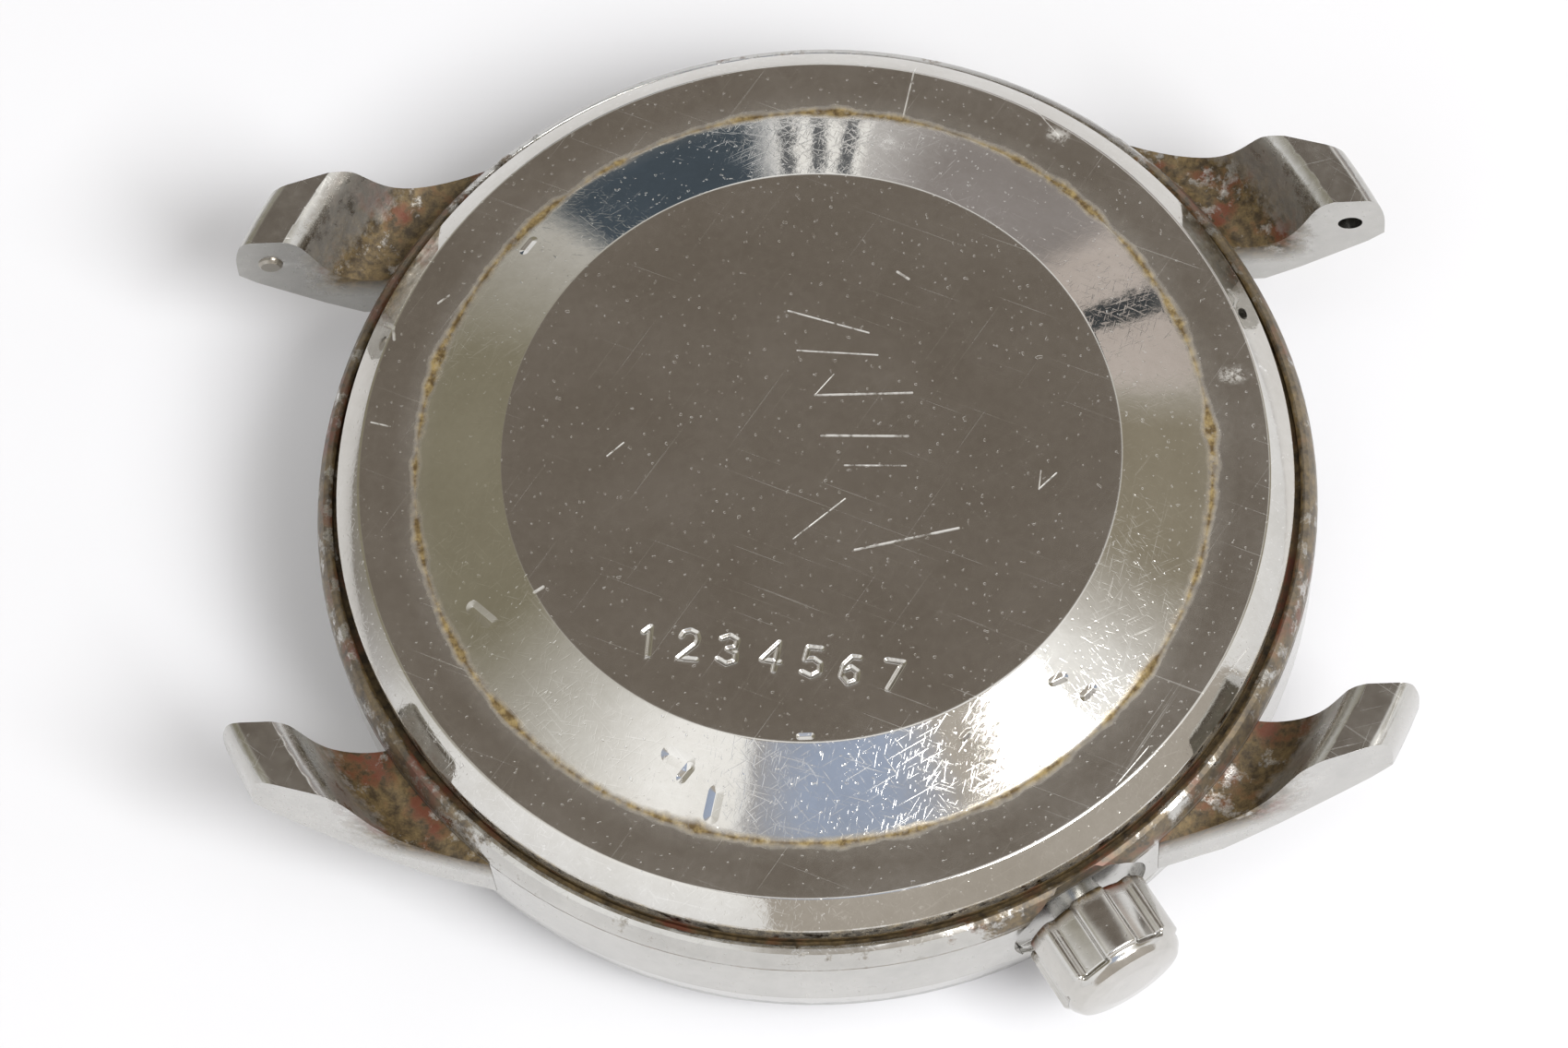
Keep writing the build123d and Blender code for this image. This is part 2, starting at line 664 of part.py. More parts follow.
SHANK_LOW = 6.95
with BuildPart() as barrel_bridge:
    with BuildSketch(Plane.XY.offset(BRIDGE_LOW)):
        Circle(BRIDGE_R)
        with Locations((SPLIT_X + SPLIT_GAP - 20, 0)):
            Rectangle(40, 40, mode=Mode.SUBTRACT)
    extrude(amount=BRIDGE_TOP - BRIDGE_LOW)
    with BuildSketch(Plane.XY.offset(PLATE_TOP)):
        with Locations(*FEET_BARREL):
            Circle(FOOT_R)
    extrude(amount=BRIDGE_LOW - PLATE_TOP)
    with BuildSketch(Plane.XY.offset(BRIDGE_LOW)):
        with Locations(BARREL):
            Circle(0.5 + FIT)
    extrude(amount=1, mode=Mode.SUBTRACT)
    with BuildSketch(Plane.XY.offset(SHANK_LOW)):
        with Locations(*FEET_BARREL):
            Circle(SCREW_SHANK)
    extrude(amount=2, mode=Mode.SUBTRACT)
    with BuildSketch(Plane.XY.offset(BRIDGE_TOP - SCREW_DEPTH)):
        with Locations(*FEET_BARREL):
            Circle(SCREW_HEAD)
    extrude(amount=1, mode=Mode.SUBTRACT)
    with BuildSketch(Plane.XY.offset(BRIDGE_TOP)):
        with Locations(REDUCTION):
            Circle(0.3)
    extrude(amount=0.5)
barrel_bridge.part.label = "barrel_bridge"
export_step(barrel_bridge.part, "parts/barrel_bridge.step")

COCK_MID = ((BALANCE[0] + COCK_FOOT[0]) / 2, (BALANCE[1] + COCK_FOOT[1]) / 2)
COCK_LONG = math.dist(BALANCE, COCK_FOOT)
COCK_W = 2.4


def cock_outline(extra, mode):
    # Arm over the balance with a round head and a wide round foot.
    with Locations(BALANCE):
        Circle(1.3 + extra, mode=mode)
    with Locations(COCK_FOOT):
        Circle(1.9 + extra, mode=mode)
    with Locations(Location((COCK_MID[0], COCK_MID[1], 0), (0, 0, bearing(BALANCE, COCK_FOOT)))):
        Rectangle(COCK_LONG, COCK_W + 2 * extra, mode=mode)


with BuildPart() as train_bridge:
    with BuildSketch(Plane.XY.offset(BRIDGE_LOW)):
        Circle(BRIDGE_R)
        with Locations((SPLIT_X - SPLIT_GAP + 20, 0)):
            Rectangle(40, 40, mode=Mode.SUBTRACT)
        with Locations(BALANCE):
            Circle(RIM_R + 0.5, mode=Mode.SUBTRACT)
        cock_outline(0.15, Mode.SUBTRACT)
        Polygon(BALANCE, polar(18, 158.0), polar(18, 197.0), COCK_FOOT, align=None, mode=Mode.SUBTRACT)
    extrude(amount=BRIDGE_TOP - BRIDGE_LOW)
    with BuildSketch(Plane.XY.offset(PLATE_TOP)):
        with Locations(*FEET_TRAIN):
            Circle(FOOT_R)
    extrude(amount=BRIDGE_LOW - PLATE_TOP)
    with BuildSketch(Plane.XY.offset(BRIDGE_LOW)):
        with Locations(CENTRE, THIRD, ESCAPE):
            Circle(0.25)
    extrude(amount=1, mode=Mode.SUBTRACT)
    with BuildSketch(Plane.XY.offset(BRIDGE_TOP - JEWEL_T)):
        with Locations(CENTRE, THIRD, ESCAPE):
            Circle(JEWEL_R)
    extrude(amount=1, mode=Mode.SUBTRACT)
    with BuildSketch(Plane.XY.offset(SHANK_LOW)):
        with Locations(*FEET_TRAIN):
            Circle(SCREW_SHANK)
    extrude(amount=2, mode=Mode.SUBTRACT)
    with BuildSketch(Plane.XY.offset(BRIDGE_TOP - SCREW_DEPTH)):
        with Locations(*FEET_TRAIN):
            Circle(SCREW_HEAD)
    extrude(amount=1, mode=Mode.SUBTRACT)
train_bridge.part.label = "train_bridge"
export_step(train_bridge.part, "parts/train_bridge.step")

with BuildPart() as balance_cock:
    with BuildSketch(Plane.XY.offset(BRIDGE_LOW + 0.05)):
        cock_outline(0, Mode.ADD)
    extrude(amount=BRIDGE_TOP - BRIDGE_LOW - 0.05)
    with BuildSketch(Plane.XY.offset(PLATE_TOP)):
        with Locations(COCK_FOOT):
            Circle(1.9)
    extrude(amount=BRIDGE_LOW + 0.05 - PLATE_TOP)
    with BuildSketch(Plane.XY.offset(BRIDGE_LOW)):
        with Locations(BALANCE):
            Circle(0.25)
    extrude(amount=1, mode=Mode.SUBTRACT)
    with BuildSketch(Plane.XY.offset(BRIDGE_TOP - JEWEL_T)):
        with Locations(BALANCE):
            Circle(JEWEL_R)
    extrude(amount=1, mode=Mode.SUBTRACT)
    with BuildSketch(Plane.XY.offset(SHANK_LOW)):
        with Locations(COCK_FOOT):
            Circle(SCREW_SHANK)
    extrude(amount=2, mode=Mode.SUBTRACT)
    with BuildSketch(Plane.XY.offset(BRIDGE_TOP - SCREW_DEPTH)):
        with Locations(COCK_FOOT):
            Circle(SCREW_HEAD)
    extrude(amount=1, mode=Mode.SUBTRACT)
balance_cock.part.label = "balance_cock"
export_step(balance_cock.part, "parts/balance_cock.step")

PB_Z = 6.9
PB_T = 0.24
PB_MID = ((PALLET[0] + PALLET_FOOT[0]) / 2, (PALLET[1] + PALLET_FOOT[1]) / 2)
with BuildPart() as pallet_bridge:
    with BuildSketch(Plane.XY.offset(PB_Z)):
        with Locations(PALLET):
            Circle(0.6)
        with Locations(PALLET_FOOT):
            Circle(0.8)
        with Locations(Location((PB_MID[0], PB_MID[1], 0), (0, 0, SIDE))):
            Rectangle(2.6, 1.1)
        with Locations(PALLET):
            Circle(0.3, mode=Mode.SUBTRACT)
        with Locations(PALLET_FOOT):
            Circle(0.4, mode=Mode.SUBTRACT)
    extrude(amount=PB_T)
    with BuildSketch(Plane.XY.offset(PLATE_TOP)):
        with Locations(PALLET_FOOT):
            Circle(0.8)
            Circle(0.4, mode=Mode.SUBTRACT)
    extrude(amount=PB_Z - PLATE_TOP)
pallet_bridge.part.label = "pallet_bridge"
export_step(pallet_bridge.part, "parts/pallet_bridge.step")

# Ring-shaped ruby bearings, pressed flush into the plate and the bridges.
with BuildPart() as jewels:
    with BuildSketch(Plane.XY.offset(PLATE_TOP - JEWEL_T)):
        with Locations(THIRD, ESCAPE, PALLET, BALANCE):
            Circle(JEWEL_R)
            Circle(PIVOT_R + FIT, mode=Mode.SUBTRACT)
    extrude(amount=JEWEL_T)
    with BuildSketch(Plane.XY.offset(BRIDGE_TOP - JEWEL_T)):
        with Locations(CENTRE, THIRD, ESCAPE, BALANCE):
            Circle(JEWEL_R)
            Circle(PIVOT_R + FIT, mode=Mode.SUBTRACT)
    extrude(amount=JEWEL_T)
    with BuildSketch(Plane.XY.offset(PB_Z)):
        with Locations(PALLET):
            Circle(0.3)
            Circle(PIVOT_R + FIT, mode=Mode.SUBTRACT)
    extrude(amount=PB_T)
jewels.part.label = "jewels"
export_step(jewels.part, "parts/jewels.step")

with BuildPart() as bridge_screws:
    with BuildSketch(Plane.XY.offset(SHANK_LOW)):
        with Locations(*FEET_BARREL, *FEET_TRAIN, COCK_FOOT):
            Circle(SCREW_SHANK)
    extrude(amount=BRIDGE_TOP - SCREW_DEPTH - SHANK_LOW)
    with BuildSketch(Plane.XY.offset(BRIDGE_TOP - SCREW_DEPTH)):
        with Locations(*FEET_BARREL, *FEET_TRAIN, COCK_FOOT):
            Circle(SCREW_HEAD)
            Rectangle(2 * SCREW_HEAD, 0.2, mode=Mode.SUBTRACT)
    extrude(amount=SCREW_DEPTH)
    with BuildSketch(Plane.XY.offset(BRIDGE_TOP - SCREW_DEPTH)):
        with Locations(*FEET_BARREL, *FEET_TRAIN, COCK_FOOT):
            Circle(SCREW_HEAD)
    extrude(amount=SCREW_DEPTH / 2)
    with BuildSketch(Plane.XY.offset(PLATE_TOP)):
        with Locations(PALLET_FOOT):
            Circle(0.4)
    extrude(amount=PB_Z + PB_T - PLATE_TOP)
bridge_screws.part.label = "bridge_screws"
export_step(bridge_screws.part, "parts/bridge_screws.step")

# -------------------------------------------------------------- going train
DRUM_LOW = 4.85
COVER_Z = 6.2
COVER_T = 0.15
TEETH_LOW = 6.08
BARREL_PHASE = 0.0
with BuildPart() as barrel_drum:
    with BuildSketch(Plane.XY.offset(DRUM_LOW)):
        with Locations(BARREL):
            Circle(DRUM_R)
    extrude(amount=COVER_Z + COVER_T - DRUM_LOW)
    with BuildSketch(Plane.XY.offset(TEETH_LOW)):
        with Locations(BARREL):
            teeth_outline(BARREL_TEETH, BARREL_M, BARREL_PHASE)
    extrude(amount=COVER_Z + COVER_T - TEETH_LOW)
    with BuildSketch(Plane.XY.offset(DRUM_LOW + 0.2)):
        with Locations(BARREL):
            Circle(DRUM_BORE)
    extrude(amount=3, mode=Mode.SUBTRACT)
    with BuildSketch(Plane.XY.offset(DRUM_LOW - 1)):
        with Locations(BARREL):
            Circle(0.4 + FIT)
    extrude(amount=3, mode=Mode.SUBTRACT)
barrel_drum.part.label = "barrel_drum"
export_step(barrel_drum.part, "parts/barrel_drum.step")

with BuildPart() as barrel_cover:
    with BuildSketch(Plane.XY.offset(COVER_Z)):
        with Locations(BARREL):
            Circle(DRUM_BORE)
            Circle(0.5 + FIT, mode=Mode.SUBTRACT)
    extrude(amount=COVER_T)
barrel_cover.part.label = "barrel_cover"
export_step(barrel_cover.part, "parts/barrel_cover.step")

ARBOR_LOW = 4.37
with BuildPart() as barrel_arbor:
    with BuildSketch(Plane.XY.offset(ARBOR_LOW)):
        with Locations(BARREL):
            Circle(0.4)
    extrude(amount=1)
    with BuildSketch(Plane.XY.offset(DRUM_LOW + 0.23)):
        with Locations(BARREL):
            Circle(1.2)
    extrude(amount=COVER_Z - DRUM_LOW - 0.26)
    with BuildSketch(Plane.XY.offset(COVER_Z - 0.1)):
        with Locations(BARREL):
            Circle(0.5)
    extrude(amount=RATCHET_Z - COVER_Z + 0.1)
    with BuildSketch(Plane.XY.offset(RATCHET_Z)):
        with Locations(BARREL):
            Rectangle(0.6, 0.6)
    extrude(amount=RATCHET_T)
barrel_arbor.part.label = "barrel_arbor"
export_step(barrel_arbor.part, "parts/barrel_arbor.step")


def spiral(inner, outer, turns, width, steps):
    # Flat ribbon wound in a spiral of even pitch.
    inside = []
    outside = []
    for i in range(steps + 1):
        share = i / steps
        radius = inner + (outer - inner) * share
        angle = 360.0 * turns * share
        inside.append(polar(radius - width / 2, angle))
        outside.append(polar(radius + width / 2, angle))
    Polygon(*inside, *reversed(outside), align=None)


with BuildPart() as mainspring:
    with BuildSketch(Plane.XY.offset(DRUM_LOW + 0.23)):
        with Locations(BARREL):
            spiral(1.26, DRUM_BORE - 0.06, 9, 0.12, 324)
    extrude(amount=COVER_Z - DRUM_LOW - 0.26)
mainspring.part.label = "mainspring"
export_step(mainspring.part, "parts/mainspring.step")

with BuildPart() as ratchet_wheel:
    with BuildSketch(Plane.XY.offset(RATCHET_Z)):
        with Locations(BARREL):
            teeth_outline(RATCHET_TEETH, RATCHET_M, 0.0)
            Rectangle(0.6, 0.6, mode=Mode.SUBTRACT)
    extrude(amount=RATCHET_T)
ratchet_wheel.part.label = "ratchet_wheel"
export_step(ratchet_wheel.part, "parts/ratchet_wheel.step")

with BuildPart() as ratchet_screw:
    with BuildSketch(Plane.XY.offset(RATCHET_Z + RATCHET_T)):
        with Locations(BARREL):
            Circle(0.95)
    extrude(amount=0.22)
    with BuildSketch(Plane.XY.offset(RATCHET_Z + RATCHET_T + 0.1)):
        with Locations(BARREL):
            Rectangle(2.2, 0.2)
    extrude(amount=0.2, mode=Mode.SUBTRACT)
ratchet_screw.part.label = "ratchet_screw"
export_step(ratchet_screw.part, "parts/ratchet_screw.step")


def wheel_spokes(rim, hub, count, width):
    # Opens the web of a wheel and leaves its spokes.
    with PolarLocations((rim + hub) / 2, count):
        Rectangle(rim - hub + 0.2, width)


PINION_PHASE = mesh_phase(BARREL_ANGLE + 180.0, BARREL_PHASE, BARREL_TEETH, CENTRE_LEAVES)
with BuildPart() as centre_wheel:
    with BuildSketch(Plane.XY.offset(2.95)):
        Circle(CENTRE_TUBE_R)
    extrude(amount=6.9 - 2.95)
    with BuildSketch(Plane.XY.offset(6.03)):
        teeth_outline(CENTRE_LEAVES, BARREL_M, PINION_PHASE)
    extrude(amount=CENTRE_Z - 6.03)
    with BuildSketch(Plane.XY.offset(CENTRE_Z)):
        teeth_outline(CENTRE_TEETH, CENTRE_M, THIRD_ANGLE)
        Circle(3.6, mode=Mode.SUBTRACT)
        Circle(1.1)
        wheel_spokes(3.6, 1.1, 5, 0.5)
    extrude(amount=WHEEL_T)
    with BuildSketch(Plane.XY.offset(2.5)):
        Circle(SECONDS_R + FIT)
    extrude(amount=6, mode=Mode.SUBTRACT)
centre_wheel.part.label = "centre_wheel"
export_step(centre_wheel.part, "parts/centre_wheel.step")

with BuildPart() as third_wheel:
    with BuildSketch(Plane.XY.offset(PLATE_TOP - JEWEL_T + 0.02)):
        with Locations(THIRD):
            Circle(PIVOT_R)
    extrude(amount=BRIDGE_TOP - PLATE_TOP + JEWEL_T - 0.04)
    with BuildSketch(Plane.XY.offset(PLATE_TOP + 0.03)):
        with Locations(THIRD):
            teeth_outline(THIRD_LEAVES, CENTRE_M, mesh_phase(THIRD_ANGLE, THIRD_ANGLE, CENTRE_TEETH, THIRD_LEAVES))
    extrude(amount=THIRD_Z - PLATE_TOP - 0.03)
    with BuildSketch(Plane.XY.offset(THIRD_Z)):
        with Locations(THIRD):
            teeth_outline(THIRD_TEETH, THIRD_M, THIRD_ANGLE + 180.0)
            Circle(3.6, mode=Mode.SUBTRACT)
            Circle(0.8)
            wheel_spokes(3.6, 0.8, 5, 0.45)
    extrude(amount=WHEEL_T)
third_wheel.part.label = "third_wheel"
export_step(third_wheel.part, "parts/third_wheel.step")

with BuildPart() as fourth_wheel:
    with BuildSketch(Plane.XY.offset(SECOND_HAND_Z)):
        Circle(SECONDS_R)
    extrude(amount=BRIDGE_LOW - 0.05 - SECOND_HAND_Z)
    with BuildSketch(Plane.XY.offset(BRIDGE_LOW - 0.06)):
        Circle(PIVOT_R)
    extrude(amount=BRIDGE_TOP - BRIDGE_LOW + 0.04)
    with BuildSketch(Plane.XY.offset(6.98)):
        teeth_outline(
            FOURTH_LEAVES, THIRD_M, mesh_phase(THIRD_ANGLE + 180.0, THIRD_ANGLE + 180.0, THIRD_TEETH, FOURTH_LEAVES)
        )
    extrude(amount=FOURTH_Z - 6.98)
    with BuildSketch(Plane.XY.offset(FOURTH_Z)):
        teeth_outline(FOURTH_TEETH, FOURTH_M, ESCAPE_ANGLE)
        Circle(3.5, mode=Mode.SUBTRACT)
        Circle(0.8)
        wheel_spokes(3.5, 0.8, 4, 0.45)
    extrude(amount=WHEEL_T)
fourth_wheel.part.label = "fourth_wheel"
export_step(fourth_wheel.part, "parts/fourth_wheel.step")

ESCAPE_FACING = bearing(ESCAPE, PALLET)
with BuildPart() as escape_wheel:
    with BuildSketch(Plane.XY.offset(PLATE_TOP - JEWEL_T + 0.02)):
        with Locations(ESCAPE):
            Circle(PIVOT_R)
    extrude(amount=BRIDGE_TOP - PLATE_TOP + JEWEL_T - 0.04)
    with BuildSketch(Plane.XY.offset(ESCAPE_Z)):
        with Locations(ESCAPE):
            teeth_outline(ESCAPE_LEAVES, FOURTH_M, mesh_phase(ESCAPE_ANGLE, ESCAPE_ANGLE, FOURTH_TEETH, ESCAPE_LEAVES))
    extrude(amount=BRIDGE_LOW - 0.05 - ESCAPE_Z)
    with BuildSketch(Plane.XY.offset(ESCAPE_Z)):
        with Locations(ESCAPE):
            ratchet_outline(ESCAPE_TEETH, ESCAPE_R, ESCAPE_R - 0.5, ESCAPE_FACING)
            Circle(1.2, mode=Mode.SUBTRACT)
            Circle(0.5)
            wheel_spokes(1.2, 0.5, 4, 0.25)
    extrude(amount=WHEEL_T)
escape_wheel.part.label = "escape_wheel"
export_step(escape_wheel.part, "parts/escape_wheel.step")

LEVER_REACH = math.dist(PALLET, BALANCE) - 0.5
TO_BALANCE = bearing(PALLET, BALANCE)
with BuildPart() as pallet_fork:
    with BuildSketch(Plane.XY.offset(PLATE_TOP - JEWEL_T + 0.02)):
        with Locations(PALLET):
            Circle(PIVOT_R)
    extrude(amount=PB_Z + PB_T - PLATE_TOP + JEWEL_T - 0.04)
    with BuildSketch(Plane.XY.offset(ESCAPE_Z)):
        with Locations(Location((PALLET[0], PALLET[1], 0), (0, 0, TO_BALANCE))):
            Circle(0.35)
            with Locations((LEVER_REACH / 2, 0)):
                Rectangle(LEVER_REACH, 0.3)
            with Locations((LEVER_REACH - 0.15, 0)):
                Rectangle(0.3, 0.62)
            with Locations((LEVER_REACH - 0.05, 0)):
                Rectangle(0.3, 0.24, mode=Mode.SUBTRACT)
            for side in (-1, 1):
                Polygon((0, side * 0.25), (-0.25, 0), (-0.86, side * 1.42), (-0.6, side * 1.52), align=None)
    extrude(amount=WHEEL_T)
    with BuildSketch(Plane.XY.offset(ESCAPE_Z + 0.01)):
        with Locations(Location((PALLET[0], PALLET[1], 0), (0, 0, TO_BALANCE))):
            for side in (-1, 1):
                with Locations(Location((-0.86, side * 1.36, 0), (0, 0, side * 28))):
                    Rectangle(0.26, 0.14)
    extrude(amount=WHEEL_T - 0.02)
pallet_fork.part.label = "pallet_fork"
export_step(pallet_fork.part, "parts/pallet_fork.step")

with BuildPart() as balance_wheel:
    with BuildSketch(Plane.XY.offset(RIM_Z)):
        with Locations(BALANCE):
            Circle(RIM_R)
            Circle(RIM_R - 0.55, mode=Mode.SUBTRACT)
            Rectangle(2 * RIM_R - 0.8, 0.5)
            Circle(0.6)
    extrude(amount=RIM_T)
    with BuildSketch(Plane.XY.offset(PLATE_TOP + 0.02)):
        with Locations(BALANCE):
            Circle(0.2)
    extrude(amount=BRIDGE_LOW - PLATE_TOP - 0.04)
    with BuildSketch(Plane.XY.offset(PLATE_TOP - JEWEL_T + 0.02)):
        with Locations(BALANCE):
            Circle(PIVOT_R)
    extrude(amount=BRIDGE_TOP - PLATE_TOP + JEWEL_T - 0.04)
    with BuildSketch(Plane.XY.offset(ESCAPE_Z + WHEEL_T + 0.05)):
        with Locations(BALANCE):
            Circle(0.85)
    extrude(amount=RIM_Z - ESCAPE_Z - WHEEL_T - 0.05)
    with BuildSketch(Plane.XY.offset(ESCAPE_Z)):
        with Locations(between(BALANCE, PALLET, 0.62)):
            Circle(0.09)
    extrude(amount=0.3)
balance_wheel.part.label = "balance_wheel"
export_step(balance_wheel.part, "parts/balance_wheel.step")

with BuildPart() as hairspring:
    with BuildSketch(Plane.XY.offset(RIM_Z + RIM_T)):
        with Locations(BALANCE):
            Circle(0.42)
            Circle(0.2, mode=Mode.SUBTRACT)
            spiral(0.42, 1.9, 8, 0.05, 240)
    extrude(amount=0.12)
hairspring.part.label = "hairspring"
export_step(hairspring.part, "parts/hairspring.step")

# -------------------------------------------------------------- motion works
CANNON_LOW = 2.64
MINUTE_PHASE = mesh_phase(STEM_ANGLE, STEM_ANGLE, CANNON_LEAVES, MINUTE_TEETH)
with BuildPart() as cannon_pinion:
    with BuildSketch(Plane.XY.offset(CANNON_LOW)):
        Circle(CANNON_R)
    extrude(amount=4.44 - CANNON_LOW)
    with BuildSketch(Plane.XY.offset(4.24)):
        teeth_outline(CANNON_LEAVES, MINUTE_M, STEM_ANGLE)
    extrude(amount=0.2)
    with BuildSketch(Plane.XY.offset(CANNON_LOW - 1)):
        Circle(CENTRE_TUBE_R)
    extrude(amount=3, mode=Mode.SUBTRACT)
cannon_pinion.part.label = "cannon_pinion"
export_step(cannon_pinion.part, "parts/cannon_pinion.step")

with BuildPart() as minute_wheel:
    with BuildSketch(Plane.XY.offset(4.26)):
        with Locations(MINUTE):
            teeth_outline(MINUTE_TEETH, MINUTE_M, MINUTE_PHASE)
    extrude(amount=0.15)
    with BuildSketch(Plane.XY.offset(3.99)):
        with Locations(MINUTE):
            teeth_outline(MINUTE_LEAVES, HOUR_M, STEM_ANGLE + 180.0)
    extrude(amount=0.27)
    with BuildSketch(Plane.XY.offset(3.9)):
        with Locations(MINUTE):
            Circle(0.25 + FIT)
    extrude(amount=1, mode=Mode.SUBTRACT)
minute_wheel.part.label = "minute_wheel"
export_step(minute_wheel.part, "parts/minute_wheel.step")

with BuildPart() as setting_wheel:
    with BuildSketch(Plane.XY.offset(4.26)):
        with Locations(SETTING):
            teeth_outline(SETTING_TEETH, MINUTE_M, mesh_phase(STEM_ANGLE, MINUTE_PHASE, MINUTE_TEETH, SETTING_TEETH))
            Circle(0.25 + FIT, mode=Mode.SUBTRACT)
    extrude(amount=0.15)
setting_wheel.part.label = "setting_wheel"
export_step(setting_wheel.part, "parts/setting_wheel.step")

with BuildPart() as hour_wheel:
    with BuildSketch(Plane.XY.offset(3.01)):
        Circle(HOUR_PIPE_R)
    extrude(amount=4.2 - 3.01)
    with BuildSketch(Plane.XY.offset(4.02)):
        teeth_outline(
            HOUR_TEETH, HOUR_M, mesh_phase(STEM_ANGLE + 180.0, STEM_ANGLE + 180.0, MINUTE_LEAVES, HOUR_TEETH)
        )
    extrude(amount=0.18)
    with BuildSketch(Plane.XY.offset(2.9)):
        Circle(CANNON_R + FIT)
    extrude(amount=2, mode=Mode.SUBTRACT)
hour_wheel.part.label = "hour_wheel"
export_step(hour_wheel.part, "parts/hour_wheel.step")

# --------------------------------------------------------- automatic winding
POST_R = 0.8
POST_TOP = 9.06
with BuildPart() as rotor_post:
    with BuildSketch(Plane.XY.offset(BRIDGE_TOP)):
        Circle(2.0)
    extrude(amount=0.2)
    with BuildSketch(Plane.XY.offset(BRIDGE_TOP)):
        Circle(POST_R)
    extrude(amount=POST_TOP - BRIDGE_TOP)
    with BuildSketch(Plane.XY.offset(8.5)):
        Circle(0.4)
    extrude(amount=1, mode=Mode.SUBTRACT)
rotor_post.part.label = "rotor_post"
export_step(rotor_post.part, "parts/rotor_post.step")

with BuildPart() as rotor_screw:
    with BuildSketch(Plane.XY.offset(8.5)):
        Circle(0.4)
    extrude(amount=POST_TOP - 8.5)
    with BuildSketch(Plane.XY.offset(POST_TOP)):
        Circle(1.3)
    extrude(amount=0.28)
    with BuildSketch(Plane.XY.offset(POST_TOP + 0.14)):
        Rectangle(3.0, 0.3)
    extrude(amount=1, mode=Mode.SUBTRACT)
rotor_screw.part.label = "rotor_screw"
export_step(rotor_screw.part, "parts/rotor_screw.step")

REDUCTION_ANGLE = bearing(CENTRE, REDUCTION)
ROTOR_REST = -95.0
with BuildPart() as rotor:
    with BuildSketch(Plane.XY.offset(8.33)):
        Circle(1.35)
    extrude(amount=ROTOR_Z - 8.33)
    with BuildSketch(Plane.XY.offset(8.34)):
        teeth_outline(ROTOR_LEAVES, ROTOR_M, REDUCTION_ANGLE)
    extrude(amount=0.2)
    with BuildSketch(Plane.XY.offset(ROTOR_Z)):
        Circle(ROTOR_R)
        with Locations(Location((*polar(20, ROTOR_REST + 180), 0), (0, 0, ROTOR_REST))):
            Rectangle(40, 40, mode=Mode.SUBTRACT)
        Circle(2.4)
    extrude(amount=ROTOR_T)
    with BuildSketch(Plane.XY.offset(8.62)):
        Circle(ROTOR_R)
        Circle(10.2, mode=Mode.SUBTRACT)
        with Locations(Location((*polar(20, ROTOR_REST + 180), 0), (0, 0, ROTOR_REST))):
            Rectangle(40, 40, mode=Mode.SUBTRACT)
    extrude(amount=0.43)
    with BuildSketch(Plane.XY.offset(8)):
        Circle(POST_R + FIT)
    extrude(amount=2, mode=Mode.SUBTRACT)
rotor.part.label = "rotor"
export_step(rotor.part, "parts/rotor.step")

REDUCTION_TO_BARREL = bearing(REDUCTION, BARREL)
with BuildPart() as reduction_wheel:
    with BuildSketch(Plane.XY.offset(BRIDGE_TOP + 0.03)):
        with Locations(REDUCTION):
            teeth_outline(
                REDUCTION_LEAVES,
                RATCHET_M,
                mesh_phase(REDUCTION_TO_BARREL + 180.0, 0.0, RATCHET_TEETH, REDUCTION_LEAVES),
            )
    extrude(amount=0.27)
    with BuildSketch(Plane.XY.offset(8.36)):
        with Locations(REDUCTION):
            teeth_outline(
                REDUCTION_TEETH,
                ROTOR_M,
                mesh_phase(REDUCTION_ANGLE, REDUCTION_ANGLE, ROTOR_LEAVES, REDUCTION_TEETH),
            )
    extrude(amount=0.16)
    with BuildSketch(Plane.XY.offset(BRIDGE_TOP + 0.25)):
        with Locations(REDUCTION):
            Circle(0.7)
    extrude(amount=0.2)
    with BuildSketch(Plane.XY.offset(BRIDGE_TOP)):
        with Locations(REDUCTION):
            Circle(0.3 + FIT)
    extrude(amount=1, mode=Mode.SUBTRACT)
reduction_wheel.part.label = "reduction_wheel"
export_step(reduction_wheel.part, "parts/reduction_wheel.step")
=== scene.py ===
import json
import math

import bmesh
import bpy
import numpy as np
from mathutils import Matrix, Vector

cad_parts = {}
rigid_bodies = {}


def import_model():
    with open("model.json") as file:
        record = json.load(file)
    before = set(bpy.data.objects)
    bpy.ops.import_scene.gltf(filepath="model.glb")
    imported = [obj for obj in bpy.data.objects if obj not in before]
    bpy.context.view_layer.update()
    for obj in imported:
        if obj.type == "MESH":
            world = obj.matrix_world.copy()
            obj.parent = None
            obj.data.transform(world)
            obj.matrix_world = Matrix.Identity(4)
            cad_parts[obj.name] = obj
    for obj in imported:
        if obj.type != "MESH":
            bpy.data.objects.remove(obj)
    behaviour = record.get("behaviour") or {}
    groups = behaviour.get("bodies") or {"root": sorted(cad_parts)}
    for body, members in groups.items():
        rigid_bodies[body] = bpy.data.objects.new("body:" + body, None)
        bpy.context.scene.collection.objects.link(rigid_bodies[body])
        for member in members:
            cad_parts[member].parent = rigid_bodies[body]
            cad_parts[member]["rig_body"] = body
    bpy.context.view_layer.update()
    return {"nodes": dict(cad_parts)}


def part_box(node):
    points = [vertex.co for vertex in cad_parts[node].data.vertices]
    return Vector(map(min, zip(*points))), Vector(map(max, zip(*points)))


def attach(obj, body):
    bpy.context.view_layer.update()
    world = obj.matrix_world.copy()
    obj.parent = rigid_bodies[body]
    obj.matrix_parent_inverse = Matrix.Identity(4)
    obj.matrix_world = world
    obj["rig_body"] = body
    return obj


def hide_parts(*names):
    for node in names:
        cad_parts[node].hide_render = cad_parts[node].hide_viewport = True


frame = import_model()

